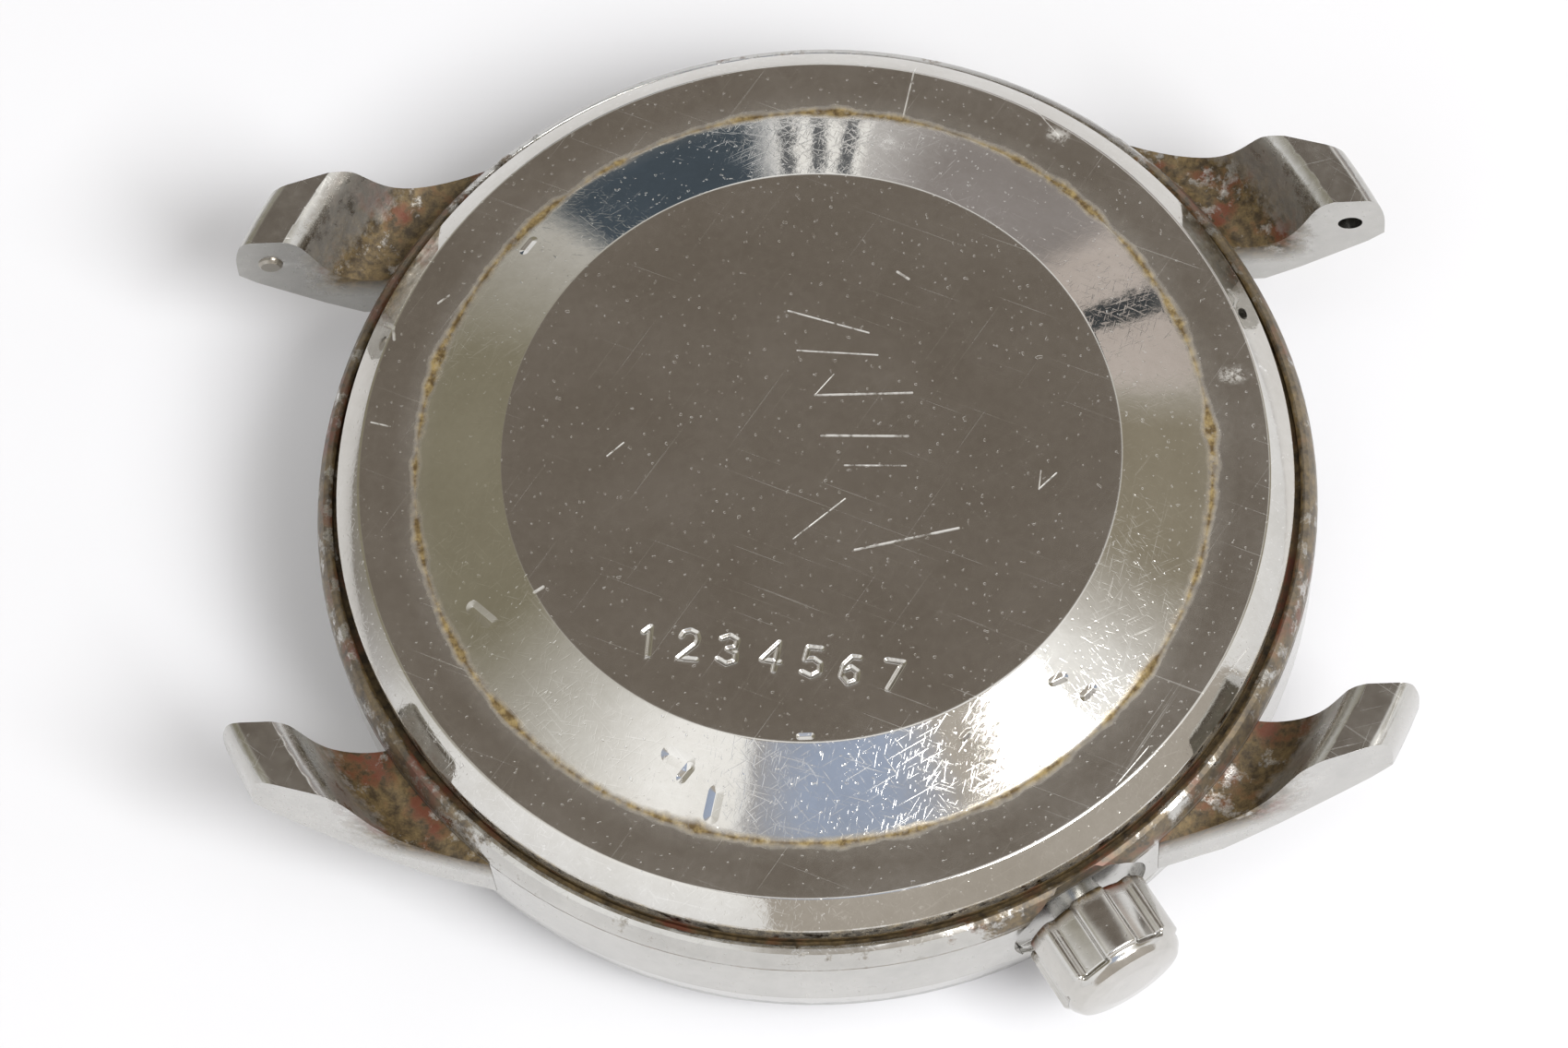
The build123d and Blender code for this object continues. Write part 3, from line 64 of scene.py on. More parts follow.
# ------------------------------------------- main plate, bridges and cocks
# The plate and its bridges are milled brass under a grey rhodium plating.
# The plate is dotted all over with small overlapping turned circles, and the
# bridges carry straight stripes with bright bevelled edges.


class Wire:
    """One output of a shader tree; sums and products of wires add Math nodes."""

    def __init__(self, tree, socket):
        self.tree = tree
        self.socket = socket

    def math(self, operation, other=None, swap=False):
        node = self.tree.nodes.new("ShaderNodeMath")
        node.operation = operation
        pair = (other, self) if swap else (self, other)
        for slot, value in zip(node.inputs, pair):
            if isinstance(value, Wire):
                self.tree.links.new(value.socket, slot)
            elif value is not None:
                slot.default_value = value
        return Wire(self.tree, node.outputs[0])

    def __add__(self, other):
        return self.math("ADD", other)

    def __radd__(self, other):
        return self.math("ADD", other, swap=True)

    def __sub__(self, other):
        return self.math("SUBTRACT", other)

    def __rsub__(self, other):
        return self.math("SUBTRACT", other, swap=True)

    def __mul__(self, other):
        return self.math("MULTIPLY", other)

    def __rmul__(self, other):
        return self.math("MULTIPLY", other, swap=True)

    def __truediv__(self, other):
        return self.math("DIVIDE", other)

    def size(self):
        return self.math("ABSOLUTE")

    def clipped(self):
        node = self.tree.nodes.new("ShaderNodeClamp")
        self.tree.links.new(self.socket, node.inputs[0])
        return Wire(self.tree, node.outputs[0])

    def rise(self, low, high):
        """Nought below low, one above high, and an even slope between."""
        return ((self - low) / (high - low)).clipped()


class Tree:
    """A shader tree to which nodes are added, of a material or of the room."""

    def __init__(self, tree):
        self.tree = tree

    def node(self, kind, settings=None, inputs=None, out=0):
        """Adds one node: its settings first, then the values or links of its sockets."""
        node = self.tree.nodes.new(kind)
        for key, value in (settings or {}).items():
            setattr(node, key, value)
        for key, value in (inputs or {}).items():
            if isinstance(value, Wire):
                self.tree.links.new(value.socket, node.inputs[key])
            else:
                node.inputs[key].default_value = value
        return Wire(self.tree, node.outputs[out])

    def split(self, vector):
        node = self.tree.nodes.new("ShaderNodeSeparateXYZ")
        self.tree.links.new(vector.socket, node.inputs[0])
        return [Wire(self.tree, socket) for socket in node.outputs]

    def join(self, x, y, z):
        return self.node("ShaderNodeCombineXYZ", inputs={0: x, 1: y, 2: z})

    def blend(self, share, first, second):
        """Colour that goes from first to second as share goes from nought to one."""
        ends = {0: share, 6: self.colour(first), 7: self.colour(second)}
        return self.node("ShaderNodeMix", {"data_type": "RGBA"}, ends, out=2)

    def colour(self, value):
        return value if isinstance(value, Wire) else (*value, 1.0)


class Finish(Tree):
    """A material made by one tree, with its object coordinates in millimetres from a centre."""

    def __init__(self, name, centre=(0.0, 0.0)):
        self.material = bpy.data.materials.new(name)
        self.material.use_nodes = True
        super().__init__(self.material.node_tree)
        self.shader = self.tree.nodes["Principled BSDF"]
        place = self.node("ShaderNodeTexCoord", out="Object")
        self.place = self.node("ShaderNodeVectorMath", {"operation": "SCALE"}, {0: place, "Scale": 1000.0})
        self.x, self.y, self.z = self.split(self.place)
        self.x = self.x - centre[0]
        self.y = self.y - centre[1]
        self.r = (self.x * self.x + self.y * self.y).math("SQRT")

    def noise(self, per_mm, detail=3.0, rough=0.5, at=None):
        sizes = {"Vector": at or self.place, "Scale": per_mm, "Detail": detail, "Roughness": rough}
        return self.node("ShaderNodeTexNoise", inputs=sizes, out="Fac")

    def hairlines(self, angle, per_mm, stretch, low, high, seed):
        """Noise drawn out along one direction and cut near its peaks: short fine scratches."""
        laid = {"Location": (seed * 7.3, seed * 3.1, seed), "Rotation": (0, 0, math.radians(angle))}
        along = self.node(
            "ShaderNodeMapping", {"vector_type": "TEXTURE"}, {"Vector": self.place, **laid, "Scale": (stretch, 1, 4)}
        )
        return self.noise(per_mm, 1.5, 0.5, along).rise(low, high)

    def give(self, **sockets):
        """Sets or links the shader's own sockets."""
        for key, value in sockets.items():
            slot = self.shader.inputs[key.replace("_", " ")]
            if isinstance(value, Wire):
                self.tree.links.new(value.socket, slot)
            else:
                slot.default_value = value

    def bump(self, height, depth_mm, strength=1.0):
        """Height of nought to one stands for a depth in millimetres."""
        raised = {"Strength": strength, "Distance": depth_mm / 1000.0, "Height": height}
        normal = self.node("ShaderNodeBump", inputs=raised)
        self.tree.links.new(normal.socket, self.shader.inputs["Normal"])


def dress(node, material):
    """Puts one material on a node of the frame in place of its plain one."""
    mesh = frame["nodes"][node].data
    mesh.materials.clear()
    mesh.materials.append(material)


SHARP_ANGLE = math.radians(32)
FLAT_ANGLE = math.radians(0.4)
MERGE_WITHIN = 2e-6


def softened(node, material, width_mm, steps=2):
    """A merged copy of a CAD mesh whose sharp edges are rounded by a small width, shown in its place."""
    source = frame["nodes"][node]
    mesh = source.data.copy()
    mesh.name = node + "_finished"
    work = bmesh.new()
    work.from_mesh(mesh)
    bmesh.ops.remove_doubles(work, verts=work.verts, dist=MERGE_WITHIN)
    bmesh.ops.dissolve_limit(work, angle_limit=FLAT_ANGLE, verts=work.verts, edges=work.edges)
    work.to_mesh(mesh)
    work.free()
    mesh.materials.clear()
    mesh.materials.append(material)
    mesh.polygons.foreach_set("use_smooth", np.ones(len(mesh.polygons), bool))
    mesh.set_sharp_from_angle(angle=SHARP_ANGLE)
    piece = bpy.data.objects.new(node + "_finished", mesh)
    bpy.context.scene.collection.objects.link(piece)
    edge = piece.modifiers.new("eased edges", "BEVEL")
    edge.width = width_mm * 0.001
    edge.segments = steps
    edge.limit_method = "ANGLE"
    edge.angle_limit = SHARP_ANGLE
    flat = piece.modifiers.new("flat faces stay flat", "WEIGHTED_NORMAL")
    flat.keep_sharp = True
    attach(piece, source["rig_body"])
    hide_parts(node)
    return piece


GRAIN_PITCH = 1.15
GRAIN_TURNS = 58.0
STRIPE_PITCH = 2.1

plate = Finish("main_plate_circular_grain")
in_x = (plate.x / GRAIN_PITCH).math("FRACT") - 0.5
in_y = (plate.y / GRAIN_PITCH).math("FRACT") - 0.5
swirl = ((in_x * in_x + in_y * in_y).math("SQRT") * GRAIN_TURNS).math("SINE") * 0.5 + 0.5
tarnish = plate.noise(0.3, 4.0, 0.6).rise(0.45, 0.75)
plate.give(
    Base_Color=plate.blend(tarnish, plate.blend(swirl, (0.55, 0.55, 0.53), (0.68, 0.67, 0.64)), (0.52, 0.46, 0.34)),
    Roughness=0.24 + 0.12 * swirl + 0.1 * tarnish,
    Metallic=1.0,
)
plate.bump(swirl, 0.012, 0.6)
dress("main_plate", plate.material)

stripes = Finish("bridge_stripes")
band = (stripes.x / STRIPE_PITCH).math("FRACT") - 0.5
rub = stripes.hairlines(90, 9.0, 30, 0.45, 0.75, 1)
stripes.give(
    Base_Color=stripes.blend((band.size() * 2.0).clipped(), (0.70, 0.69, 0.67), (0.56, 0.555, 0.54)),
    Roughness=0.2 + 0.14 * rub + 0.06 * stripes.noise(0.5),
    Metallic=1.0,
)
stripes.bump(band * band * 4.0 + rub * 0.05, 0.09, 0.8)
for name in ("barrel_bridge", "train_bridge", "balance_cock"):
    softened(name, stripes.material, 0.05)
softened("pallet_bridge", stripes.material, 0.04)

# --------------------------------------------------------- jewels and screws
# Synthetic ruby bearings are pressed into plate and bridges. The screws are
# turned steel, heated until blue, and hold the bridges, ratchet and rotor.
ruby = Finish("ruby")
depth = ruby.noise(3.0, 3.0)
ruby.give(
    Base_Color=ruby.blend(depth, (0.36, 0.004, 0.045), (0.72, 0.03, 0.14)),
    Roughness=0.04 + 0.06 * depth,
    IOR=1.76,
    Transmission_Weight=0.3,
)
dress("jewels", ruby.material)

blued = Finish("blued_steel")
heat = blued.noise(1.2, 3.0)
brush = blued.hairlines(30, 14.0, 20, 0.4, 0.75, 2)
blued.give(
    Base_Color=blued.blend(heat.rise(0.35, 0.7), (0.018, 0.045, 0.15), (0.045, 0.03, 0.16)),
    Roughness=0.16 + 0.14 * brush,
    Metallic=1.0,
)
blued.bump(brush, 0.004, 0.5)
for name in ("bridge_screws", "ratchet_screw", "rotor_screw"):
    softened(name, blued.material, 0.03)

# -------------------------------------- barrel, train wheels, motion works
# Wheels are stamped and hobbed brass riveted on steel pinions. The barrel is
# a brass drum whose cover snaps in over a coiled blue-grey spring.
BRASS = (0.78, 0.57, 0.26)
STEEL = (0.60, 0.60, 0.59)


def turned_metal(node, tint, gloss, sunray=0.0, about=None):
    """Finish turned about the node's axis, or another's: noise of the radius, mixed with noise of the bearing."""
    low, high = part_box(about or node)
    metal = Finish(node + "_turned", (500 * (low[0] + high[0]), 500 * (low[1] + high[1])))
    rings = metal.noise(9.0, 3.0, 0.6, metal.join(metal.r, 0.0, 0.0))
    rays = metal.noise(24.0, 3.0, 0.6, metal.join(metal.x / (metal.r + 0.01), metal.y / (metal.r + 0.01), 0.0))
    grain = rings * (1.0 - sunray) + rays * sunray
    film = metal.noise(0.7, 4.0, 0.6).rise(0.4, 0.8)
    dull = tuple(0.72 * c for c in tint)
    metal.give(
        Base_Color=metal.blend((grain * 0.7 + film * 0.4).rise(0.25, 0.85), tint, dull),
        Roughness=gloss + 0.16 * grain.rise(0.3, 0.7) + 0.08 * film,
        Metallic=1.0,
    )
    metal.bump(grain, 0.006, 0.6)
    return metal.material


for name in ("barrel_drum", "barrel_cover", "third_wheel", "centre_wheel", "fourth_wheel", "minute_wheel"):
    dress(name, turned_metal(name, BRASS, 0.18, 0.25))
dress("hour_wheel", turned_metal("hour_wheel", BRASS, 0.2))
dress("mainspring", turned_metal("mainspring", (0.30, 0.33, 0.38), 0.2))
for name in ("barrel_arbor", "cannon_pinion"):
    dress(name, turned_metal(name, STEEL, 0.16))

# ------------------------------------ escape wheel, pallet fork and balance
# The escape wheel and fork are hardened steel with grained faces. The balance
# is a gilt alloy ring on two arms, and its spring is blued steel.
dress("escape_wheel", turned_metal("escape_wheel", STEEL, 0.12, 0.1))
dress("balance_wheel", turned_metal("balance_wheel", (0.85, 0.62, 0.30), 0.14))
dress("hairspring", blued.material)

grained = Finish("grained_steel")
strokes = grained.hairlines(35, 11.0, 24, 0.35, 0.75, 4)
grained.give(
    Base_Color=grained.blend(strokes, (0.62, 0.62, 0.61), (0.48, 0.48, 0.47)),
    Roughness=0.2 + 0.16 * strokes,
    Metallic=1.0,
)
grained.bump(strokes, 0.005, 0.5)
dress("pallet_fork", grained.material)

# ------------------------------------- rotor, its post and the winding wheels
# The rotor is a half-disc of plated heavy metal with a thick rim, turned on
# its face. It runs on a steel post that is screwed to the bridges, and drives
# a gilt reduction wheel and the steel ratchet wheel.
softened("rotor", turned_metal("rotor", (0.66, 0.65, 0.62), 0.22, about="rotor_post"), 0.06)
dress("rotor_post", turned_metal("rotor_post", STEEL, 0.14, about="rotor_screw"))
dress("reduction_wheel", turned_metal("reduction_wheel", (0.80, 0.54, 0.30), 0.18))
dress("ratchet_wheel", turned_metal("ratchet_wheel", (0.63, 0.62, 0.60), 0.14, 1.0))

# ------------------------------------------------------------ movement ring
# A moulded nylon ring centres the movement in the case. Its surface has the
# fine pebble of the mould.
nylon = Finish("ring_nylon")
pebble = nylon.noise(6.0, 3.0)
shade = nylon.noise(0.4, 3.0)
nylon.give(
    Base_Color=nylon.blend(shade, (0.16, 0.155, 0.145), (0.24, 0.23, 0.21)),
    Roughness=0.42 + 0.2 * pebble,
    Subsurface_Weight=0.05,
)
nylon.bump(pebble, 0.02, 0.4)
dress("movement_ring", nylon.material)

# ------------------------------------------------- dial, dial ring, markers
# The dial is brass with a brushed silver face whose grain runs out from the
# centre. A minute track is printed round it, and the markers are riveted on.
DIAL_FACE = 3.52
TRACK_INNER = 13.50
TRACK_OUTER = 13.90
MINUTES = 60

dial = Finish("silvered_dial")
grain = dial.noise(36.0, 4.0, 0.7, dial.join(dial.x / (dial.r + 0.01), dial.y / (dial.r + 0.01), 0.0))
fade = dial.noise(0.18, 4.0, 0.6)
minute = (dial.y.math("ARCTAN2", dial.x) * (MINUTES / (2 * math.pi)) + (MINUTES + 0.5)).math("FRACT") - 0.5
from_tick = minute.size() * dial.r * (2 * math.pi / MINUTES)
inside = (dial.r - TRACK_INNER).rise(0.0, 0.02) * (1.0 - (dial.r - TRACK_OUTER).rise(0.0, 0.02))
track = (1.0 - from_tick.rise(0.035, 0.055)) * inside
circle = 1.0 - (dial.r - TRACK_INNER).size().rise(0.02, 0.04)
front = 1.0 - (dial.z - DIAL_FACE).rise(0.0, 0.02)
print_ink = (track + circle).clipped() * front
silver = dial.blend(grain.rise(0.3, 0.7), (0.70, 0.68, 0.62), (0.56, 0.545, 0.50))
silver = dial.blend(fade.rise(0.5, 0.8) * 0.5, silver, (0.58, 0.52, 0.38))
dial.give(
    Base_Color=dial.blend(print_ink, silver, (0.015, 0.015, 0.015)),
    Roughness=0.34 + 0.14 * grain,
    Metallic=0.85 - 0.8 * print_ink,
)
dial.bump(grain + print_ink * 0.8, 0.006, 0.5)
dress("dial", dial.material)

reflector = Finish("dial_ring_satin")
lines = reflector.noise(10.0, 3.0, 0.6, reflector.join(reflector.r, 0.0, reflector.z))
reflector.give(
    Base_Color=reflector.blend(lines, (0.62, 0.61, 0.58), (0.50, 0.49, 0.47)),
    Roughness=0.26 + 0.16 * lines,
    Metallic=0.9,
)
reflector.bump(lines, 0.006, 0.5)
dress("dial_ring", reflector.material)

gilt = Finish("polished_marker")
rub = gilt.hairlines(20, 16.0, 18, 0.5, 0.8, 5)
gilt.give(
    Base_Color=gilt.blend(gilt.noise(0.8), (0.70, 0.69, 0.66), (0.60, 0.58, 0.53)),
    Roughness=0.10 + 0.14 * rub,
    Metallic=1.0,
)
gilt.bump(rub, 0.003, 0.4)
softened("hour_markers", gilt.material, 0.04)

# -------------------------------------------------------------------- hands
# Three hands pressed on one above another, each filed to a taper, with a
# bright brushed top and eased edges.
for name in ("hour_hand", "minute_hand", "seconds_hand"):
    softened(name, gilt.material, 0.03)


# ------------------------------------------------- case middle, lugs, bezel
# The case middle is one turning in stainless steel with four milled lugs, and
# the bezel is a polished ring pressed on its neck. Wear left hairlines, brown
# corrosion in every hollow, and a broken spring-bar end in one lug.
# The brown on the case beside the crown is painted shade of its recess.


def worn_steel(name, tint, gloss, scratched, corrosion_and_shade=None, pitted=0.0):
    """Polished steel with cloudy wear, crossing hairlines and, where the mask says so, brown corrosion; on the crown
    this brown is painted shade.
    """
    steel = Finish(name)
    cloud = steel.noise(0.35, 4.0, 0.6)
    fine = steel.noise(2.2, 4.0, 0.65)
    worked = steel.noise(0.22, 2.0, 0.5).rise(0.38, 0.62)
    lines = (
        steel.hairlines(12, 14.0, 40, 0.64, 0.76, 1)
        + steel.hairlines(-38, 13.0, 50, 0.65, 0.77, 2)
        + steel.hairlines(66, 15.0, 40, 0.65, 0.77, 3)
    ).clipped() * (0.35 + 0.65 * worked)
    pocks = steel.noise(5.0, 1.0, 0.5).rise(0.74, 0.80)
    dark = tuple(0.80 * c for c in tint)
    colour = steel.blend((cloud * 0.6 + fine * 0.4).rise(0.35, 0.7), dark, tint)
    roughness = gloss + 0.08 * cloud.rise(0.35, 0.75) + 0.06 * fine.rise(0.4, 0.8) + scratched * 0.22 * lines
    height = cloud * 0.5 + fine * 0.05 - lines * scratched * 0.06 - pocks * 0.15 * scratched
    metallic = 1.0
    if corrosion_and_shade is not None:
        patch = corrosion_and_shade(steel)
        crust = steel.noise(2.4, 6.0, 0.7)
        rust = steel.noise(0.6, 3.0, 0.6).rise(0.52, 0.66)
        brown = steel.blend(crust.rise(0.38, 0.70), (0.045, 0.030, 0.014), (0.20, 0.140, 0.060))
        brown = steel.blend(rust * crust.rise(0.4, 0.5), brown, (0.13, 0.040, 0.018))
        # Brown corrosion on case and lugs; on the crown this same brown is painted shade of the gap at the case.
        colour = steel.blend(patch, colour, brown)
        roughness = roughness + patch * 0.34
        metallic = 1.0 - 0.7 * patch
        height = height + crust * patch * (0.5 + pitted)
    steel.give(Base_Color=colour, Roughness=roughness.clipped(), Metallic=metallic)
    steel.bump(height, 0.05, 0.5)
    return steel.material


GROOVE_R = 17.62
GROOVE_Z = 7.3
LEDGE_Z = 7.0
SEAM_Z = 7.12
BESIDE_CROWN = (8.5, -15.2)


def case_corrosion_and_shade(steel):
    """Corrosion packed in the groove around the back, smeared over the ledge beside it near the lugs, and painted
    shade on the ledge beside the crown's recess.
    """
    ragged = steel.noise(1.1, 6.0, 0.72)
    packed = 1.0 - (steel.r - GROOVE_R - 0.5 * (ragged - 0.5)).rise(-0.06, 0.05)
    groove = packed * (steel.z - GROOVE_Z).rise(0.0, 0.1)
    ends = (steel.x.size() - 10.5).rise(0.0, 3.5)
    # Painted shade: the ledge is darker beside the crown, where its recess is shaded.
    crown_recess_shade = 1.0 - ((steel.x - BESIDE_CROWN[0]).size() + (steel.y - BESIDE_CROWN[1]).size()).rise(3.0, 6.0)
    spread = (ends * 0.8 + crown_recess_shade * 0.9 + 0.12).clipped()
    ledge = (steel.z - LEDGE_Z).rise(0.0, 0.3) * (ragged + 0.32 * spread).rise(0.62, 0.74)
    seam = (1.0 - (steel.z - SEAM_Z).size().rise(0.02, 0.055)) * ragged.rise(0.34, 0.5)
    return (groove + ledge * 0.9 + seam * 0.55).clipped()


def lug_grime(steel):
    """Corrosion in the hollow under each lug, thinning towards the ridge."""
    ragged = steel.noise(0.8, 6.0, 0.72)
    hollow = 1.0 - (steel.r + (ragged - 0.5) * 2.8).rise(19.9, 21.1)
    upper = (steel.z - 5.6).rise(0.0, 1.4)
    return (hollow * upper * ragged.rise(0.30, 0.44)).clipped()


CASE_TINT = (0.60, 0.59, 0.56)
case_finish = worn_steel("case_steel_worn", CASE_TINT, 0.13, 0.8, case_corrosion_and_shade)
lug_finish = worn_steel("lug_steel_corroded", CASE_TINT, 0.16, 0.9, lug_grime, 0.9)
bezel_finish = worn_steel("bezel_steel", CASE_TINT, 0.12, 0.7)
softened("case_middle", case_finish, 0.06)
softened("lugs", lug_finish, 0.22, 3)
softened("bezel", bezel_finish, 0.10)
dress("spring_bar_stub", worn_steel("spring_bar_broken", (0.42, 0.39, 0.34), 0.3, 1.0))

# --------------------------------------------------- crystal and the gaskets
# A flat mineral glass with a ground edge sits in a black ring gasket, which
# the bezel squeezes. The glass has fine rubbed marks from lying face down.
glass = Finish("crystal_glass")
rubbed = (glass.hairlines(20, 8.0, 30, 0.68, 0.78, 5) + glass.hairlines(-55, 9.0, 26, 0.69, 0.79, 6)).clipped()
glass.give(
    Base_Color=glass.blend(rubbed, (0.97, 0.98, 0.98), (0.80, 0.82, 0.82)),
    Roughness=0.02 + 0.25 * rubbed,
    IOR=1.5,
    Transmission_Weight=1.0,
)
glass.bump(glass.noise(0.3, 2.0) - rubbed * 0.1, 0.01, 0.25)
dress("crystal", glass.material)

rubber = Finish("gasket_rubber")
grain = rubber.noise(9.0, 4.0)
rubber.give(Base_Color=rubber.blend(grain, (0.012, 0.012, 0.012), (0.05, 0.05, 0.048)), Roughness=0.55 + 0.3 * grain)
rubber.bump(grain, 0.02, 0.4)
for name in ("crystal_gasket", "case_back_gasket", "crown_gasket"):
    dress(name, rubber.material)

# ------------------------------------------ stem, clutch, tube and the crown
# The crown is turned steel with six broad lobes milled around it and a
# slightly domed polished end. It turns and pulls on the stem at four o'clock.
STEM_ANGLE = math.radians(-60.0)
STEM_Z = 5.4
CROWN_R = 2.45
CROWN_SLOTS = 6
SLOT_DEEP = 0.33
SLOT_HALF = 0.575
CROWN_ROUND = 0.07


def crown_gap_shade(steel):
    """Painted shade in the brown of rust: the crown's end next to the case, where the gap is shaded, ragged; thin
    elsewhere.
    """
    along = steel.x * math.cos(STEM_ANGLE) + steel.y * math.sin(STEM_ANGLE)
    ragged = steel.noise(1.6, 5.0, 0.7)
    return (1.0 - along.rise(18.5, 18.85)) * (along - 17.3).rise(0.0, 0.2) * ragged.rise(0.36, 0.5)


dress("winding_stem", worn_steel("stem_steel", (0.55, 0.55, 0.53), 0.2, 0.6))
dress("crown_tube", worn_steel("tube_steel", CASE_TINT, 0.2, 0.6))
dress("setting_wheel", turned_metal("setting_wheel", STEEL, 0.16))
for name in ("clutch_wheel", "setting_lever"):
    dress(name, grained.material)


def put_mesh(name, points, faces, material, body):
    """Makes a mesh from arrays of corner places in millimetres and of faces, merged where corners meet at a pole."""
    mesh = bpy.data.meshes.new(name)
    mesh.from_pydata(np.asarray(points) * 0.001, [], np.asarray(faces).tolist())
    work = bmesh.new()
    work.from_mesh(mesh)
    bmesh.ops.remove_doubles(work, verts=work.verts, dist=1e-7)
    work.to_mesh(mesh)
    work.free()
    mesh.materials.append(material)
    mesh.polygons.foreach_set("use_smooth", np.ones(len(mesh.polygons), bool))
    piece = bpy.data.objects.new(name, mesh)
    bpy.context.scene.collection.objects.link(piece)
    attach(piece, body)
    return piece


def ring_faces(rows, columns):
    """Faces of a grid that closes round its columns, between each row and the next."""
    row, column = np.meshgrid(np.arange(rows - 1), np.arange(columns), indexing="ij")
    ahead = (row + 1) * columns
    here = row * columns
    after = (column + 1) % columns
    return np.stack((here + column, here + after, ahead + after, ahead + column), -1).reshape(-1, 4)


def rounded(profile, radius, steps=5):
    """Profile whose inner corners are cut back by the radius and joined by a quadratic curve; its ends stay."""
    profile = np.asarray(profile, float)
    here = profile[1:-1]
    back = profile[:-2] - here
    ahead = profile[2:] - here
    long_back = np.linalg.norm(back, axis=1, keepdims=True)
    long_ahead = np.linalg.norm(ahead, axis=1, keepdims=True)
    start = here + back / long_back * np.minimum(radius, 0.4 * long_back)
    end = here + ahead / long_ahead * np.minimum(radius, 0.4 * long_ahead)
    t = np.linspace(0, 1, steps)[:, None]
    curve = (1 - t) ** 2 * start[:, None] + 2 * t * (1 - t) * here[:, None] + t**2 * end[:, None]
    return np.vstack((profile[:1], curve.reshape(-1, 2), profile[-1:]))


def crown_grid(columns=240):
    """Radius falls by the slot depth in six round-cornered slots; the height runs along the stem."""
    turn = np.linspace(0, 2 * np.pi, columns, endpoint=False)
    sector = 2 * np.pi / CROWN_SLOTS
    arc = ((turn / sector + 0.5) % 1.0 - 0.5) * sector * CROWN_R
    slot = 1 / (1 + np.exp((np.abs(arc) - SLOT_HALF) / 0.035))
    corners = (
        (0.0, 21.2), (0.62, 21.2), (0.62, 19.85), (1.07, 19.85), (1.07, 18.36), (2.35, 18.36), (CROWN_R, 18.48),
        (CROWN_R, 20.72), (2.30, 20.80), (2.24, 21.02), (2.02, 21.30), (1.2, 21.42), (0.0, 21.45),
    )
    profile = rounded(corners, CROWN_ROUND)
    radius, along = profile[:, :1], profile[:, 1:]
    deep = np.clip((radius - 2.0) / 0.3, 0, 1) * np.clip((20.86 - along) / 0.06, 0, 1)
    radius = radius - SLOT_DEEP * slot * deep
    out = np.array((math.cos(STEM_ANGLE), math.sin(STEM_ANGLE), 0.0))
    across = np.array((-math.sin(STEM_ANGLE), math.cos(STEM_ANGLE), 0.0))
    points = along[..., None] * out + (radius * np.cos(turn))[..., None] * across
    points = points + (radius * np.sin(turn))[..., None] * np.array((0, 0, 1.0)) + np.array((0, 0, STEM_Z))
    return points.reshape(-1, 3), ring_faces(len(profile), columns)[:, ::-1]


crown_points, crown_faces = crown_grid()
crown_finish = worn_steel("crown_steel", (0.64, 0.625, 0.59), 0.11, 0.8, crown_gap_shade)
crown = put_mesh("crown_turned", crown_points, crown_faces, crown_finish, "crown_and_stem")
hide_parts("crown")

# ---------------------------------------------------------------- case back
# The back is pressed and turned steel: a satin disc, a bright cone, a flat
# satin ring and a polished bevel. A row of numerals was struck into the disc,
# and years of use left scratches, nicks, and dirt at the foot of the cone.
# Short pale strokes painted on the bevel stand for highlights where it reflects the inner edges of the lugs.
BACK_TOP = 10.965
RIM_R = 17.35
BEVEL_R = 16.45
CONE_FOOT_R = 14.335
CONE_TOP_R = 11.13
RING_TOP = 9.6
CORNER_ROUND = 0.07
DISC_SCRATCHES = (
    (-0.7, 5.6, 2.2, 4.6, 0.022), (-0.4, 4.0, 2.5, 3.7, 0.020), (0.2, 2.2, 3.7, 2.15, 0.030),
    (0.4, 0.6, 3.5, 0.45, 0.034), (1.2, -0.6, 3.4, -0.7, 0.020), (-0.7, -3.4, 1.2, -1.9, 0.018),
    (1.5, -3.9, 5.2, -3.2, 0.036), (0.9, 3.0, 0.2, 2.2, 0.014), (8.1, -1.8, 8.75, -1.2, 0.020),
    (8.1, -1.8, 8.2, -1.1, 0.020), (-7.3, 0.1, -6.7, 0.6, 0.020), (3.3, 7.0, 3.7, 6.7, 0.040),
    (-9.9, -5.1, -9.6, -4.9, 0.050),
)
RING_SCRATCHES = (
    (4.2, 16.3, 3.6, 13.8, 0.022), (8.4, 14.4, 9.4, 13.0, 0.018), (-13.6, 7.1, -13.2, 7.4, 0.030),
    (10.4, -12.6, 11.6, -11.2, 0.016), (-16.0, 2.4, -15.3, 2.2, 0.020), (14.6, -8.3, 15.3, -7.4, 0.020),
)
CONE_NICKS = (
    (-12.2, -5.2, -11.5, -5.9, 0.13), (-5.2, -11.2, -4.6, -11.5, 0.16), (-4.8, -12.0, -4.5, -11.7, 0.10),
    (-3.6, -12.6, -3.8, -13.3, 0.15), (8.3, -9.0, 8.7, -8.8, 0.09), (9.4, -9.4, 9.7, -9.1, 0.09),
    (-0.6, -10.9, -0.2, -10.9, 0.07), (5.1, -11.0, 5.3, -10.8, 0.07), (-10.4, 9.0, -10.1, 9.4, 0.10),
)
# Painted highlights: short pale strokes on the polished bevel where it reflects the inner edges of the lugs.
BEVEL_LUG_GLINTS = (
    (-15.6, 6.55, -15.25, 6.2, 0.07), (-15.25, 6.2, -15.2, 5.7, 0.05), (15.35, 6.5, 15.6, 6.2, 0.07),
    (15.6, 6.2, 15.5, 5.8, 0.05), (16.3, 3.4, 16.5, 3.3, 0.05),
)
PALE_SPOTS = ((15.1, 3.0, 15.5, 3.05, 0.26), (9.2, 13.1, 9.5, 13.0, 0.22), (3.0, 12.75, 3.1, 12.7, 0.30))


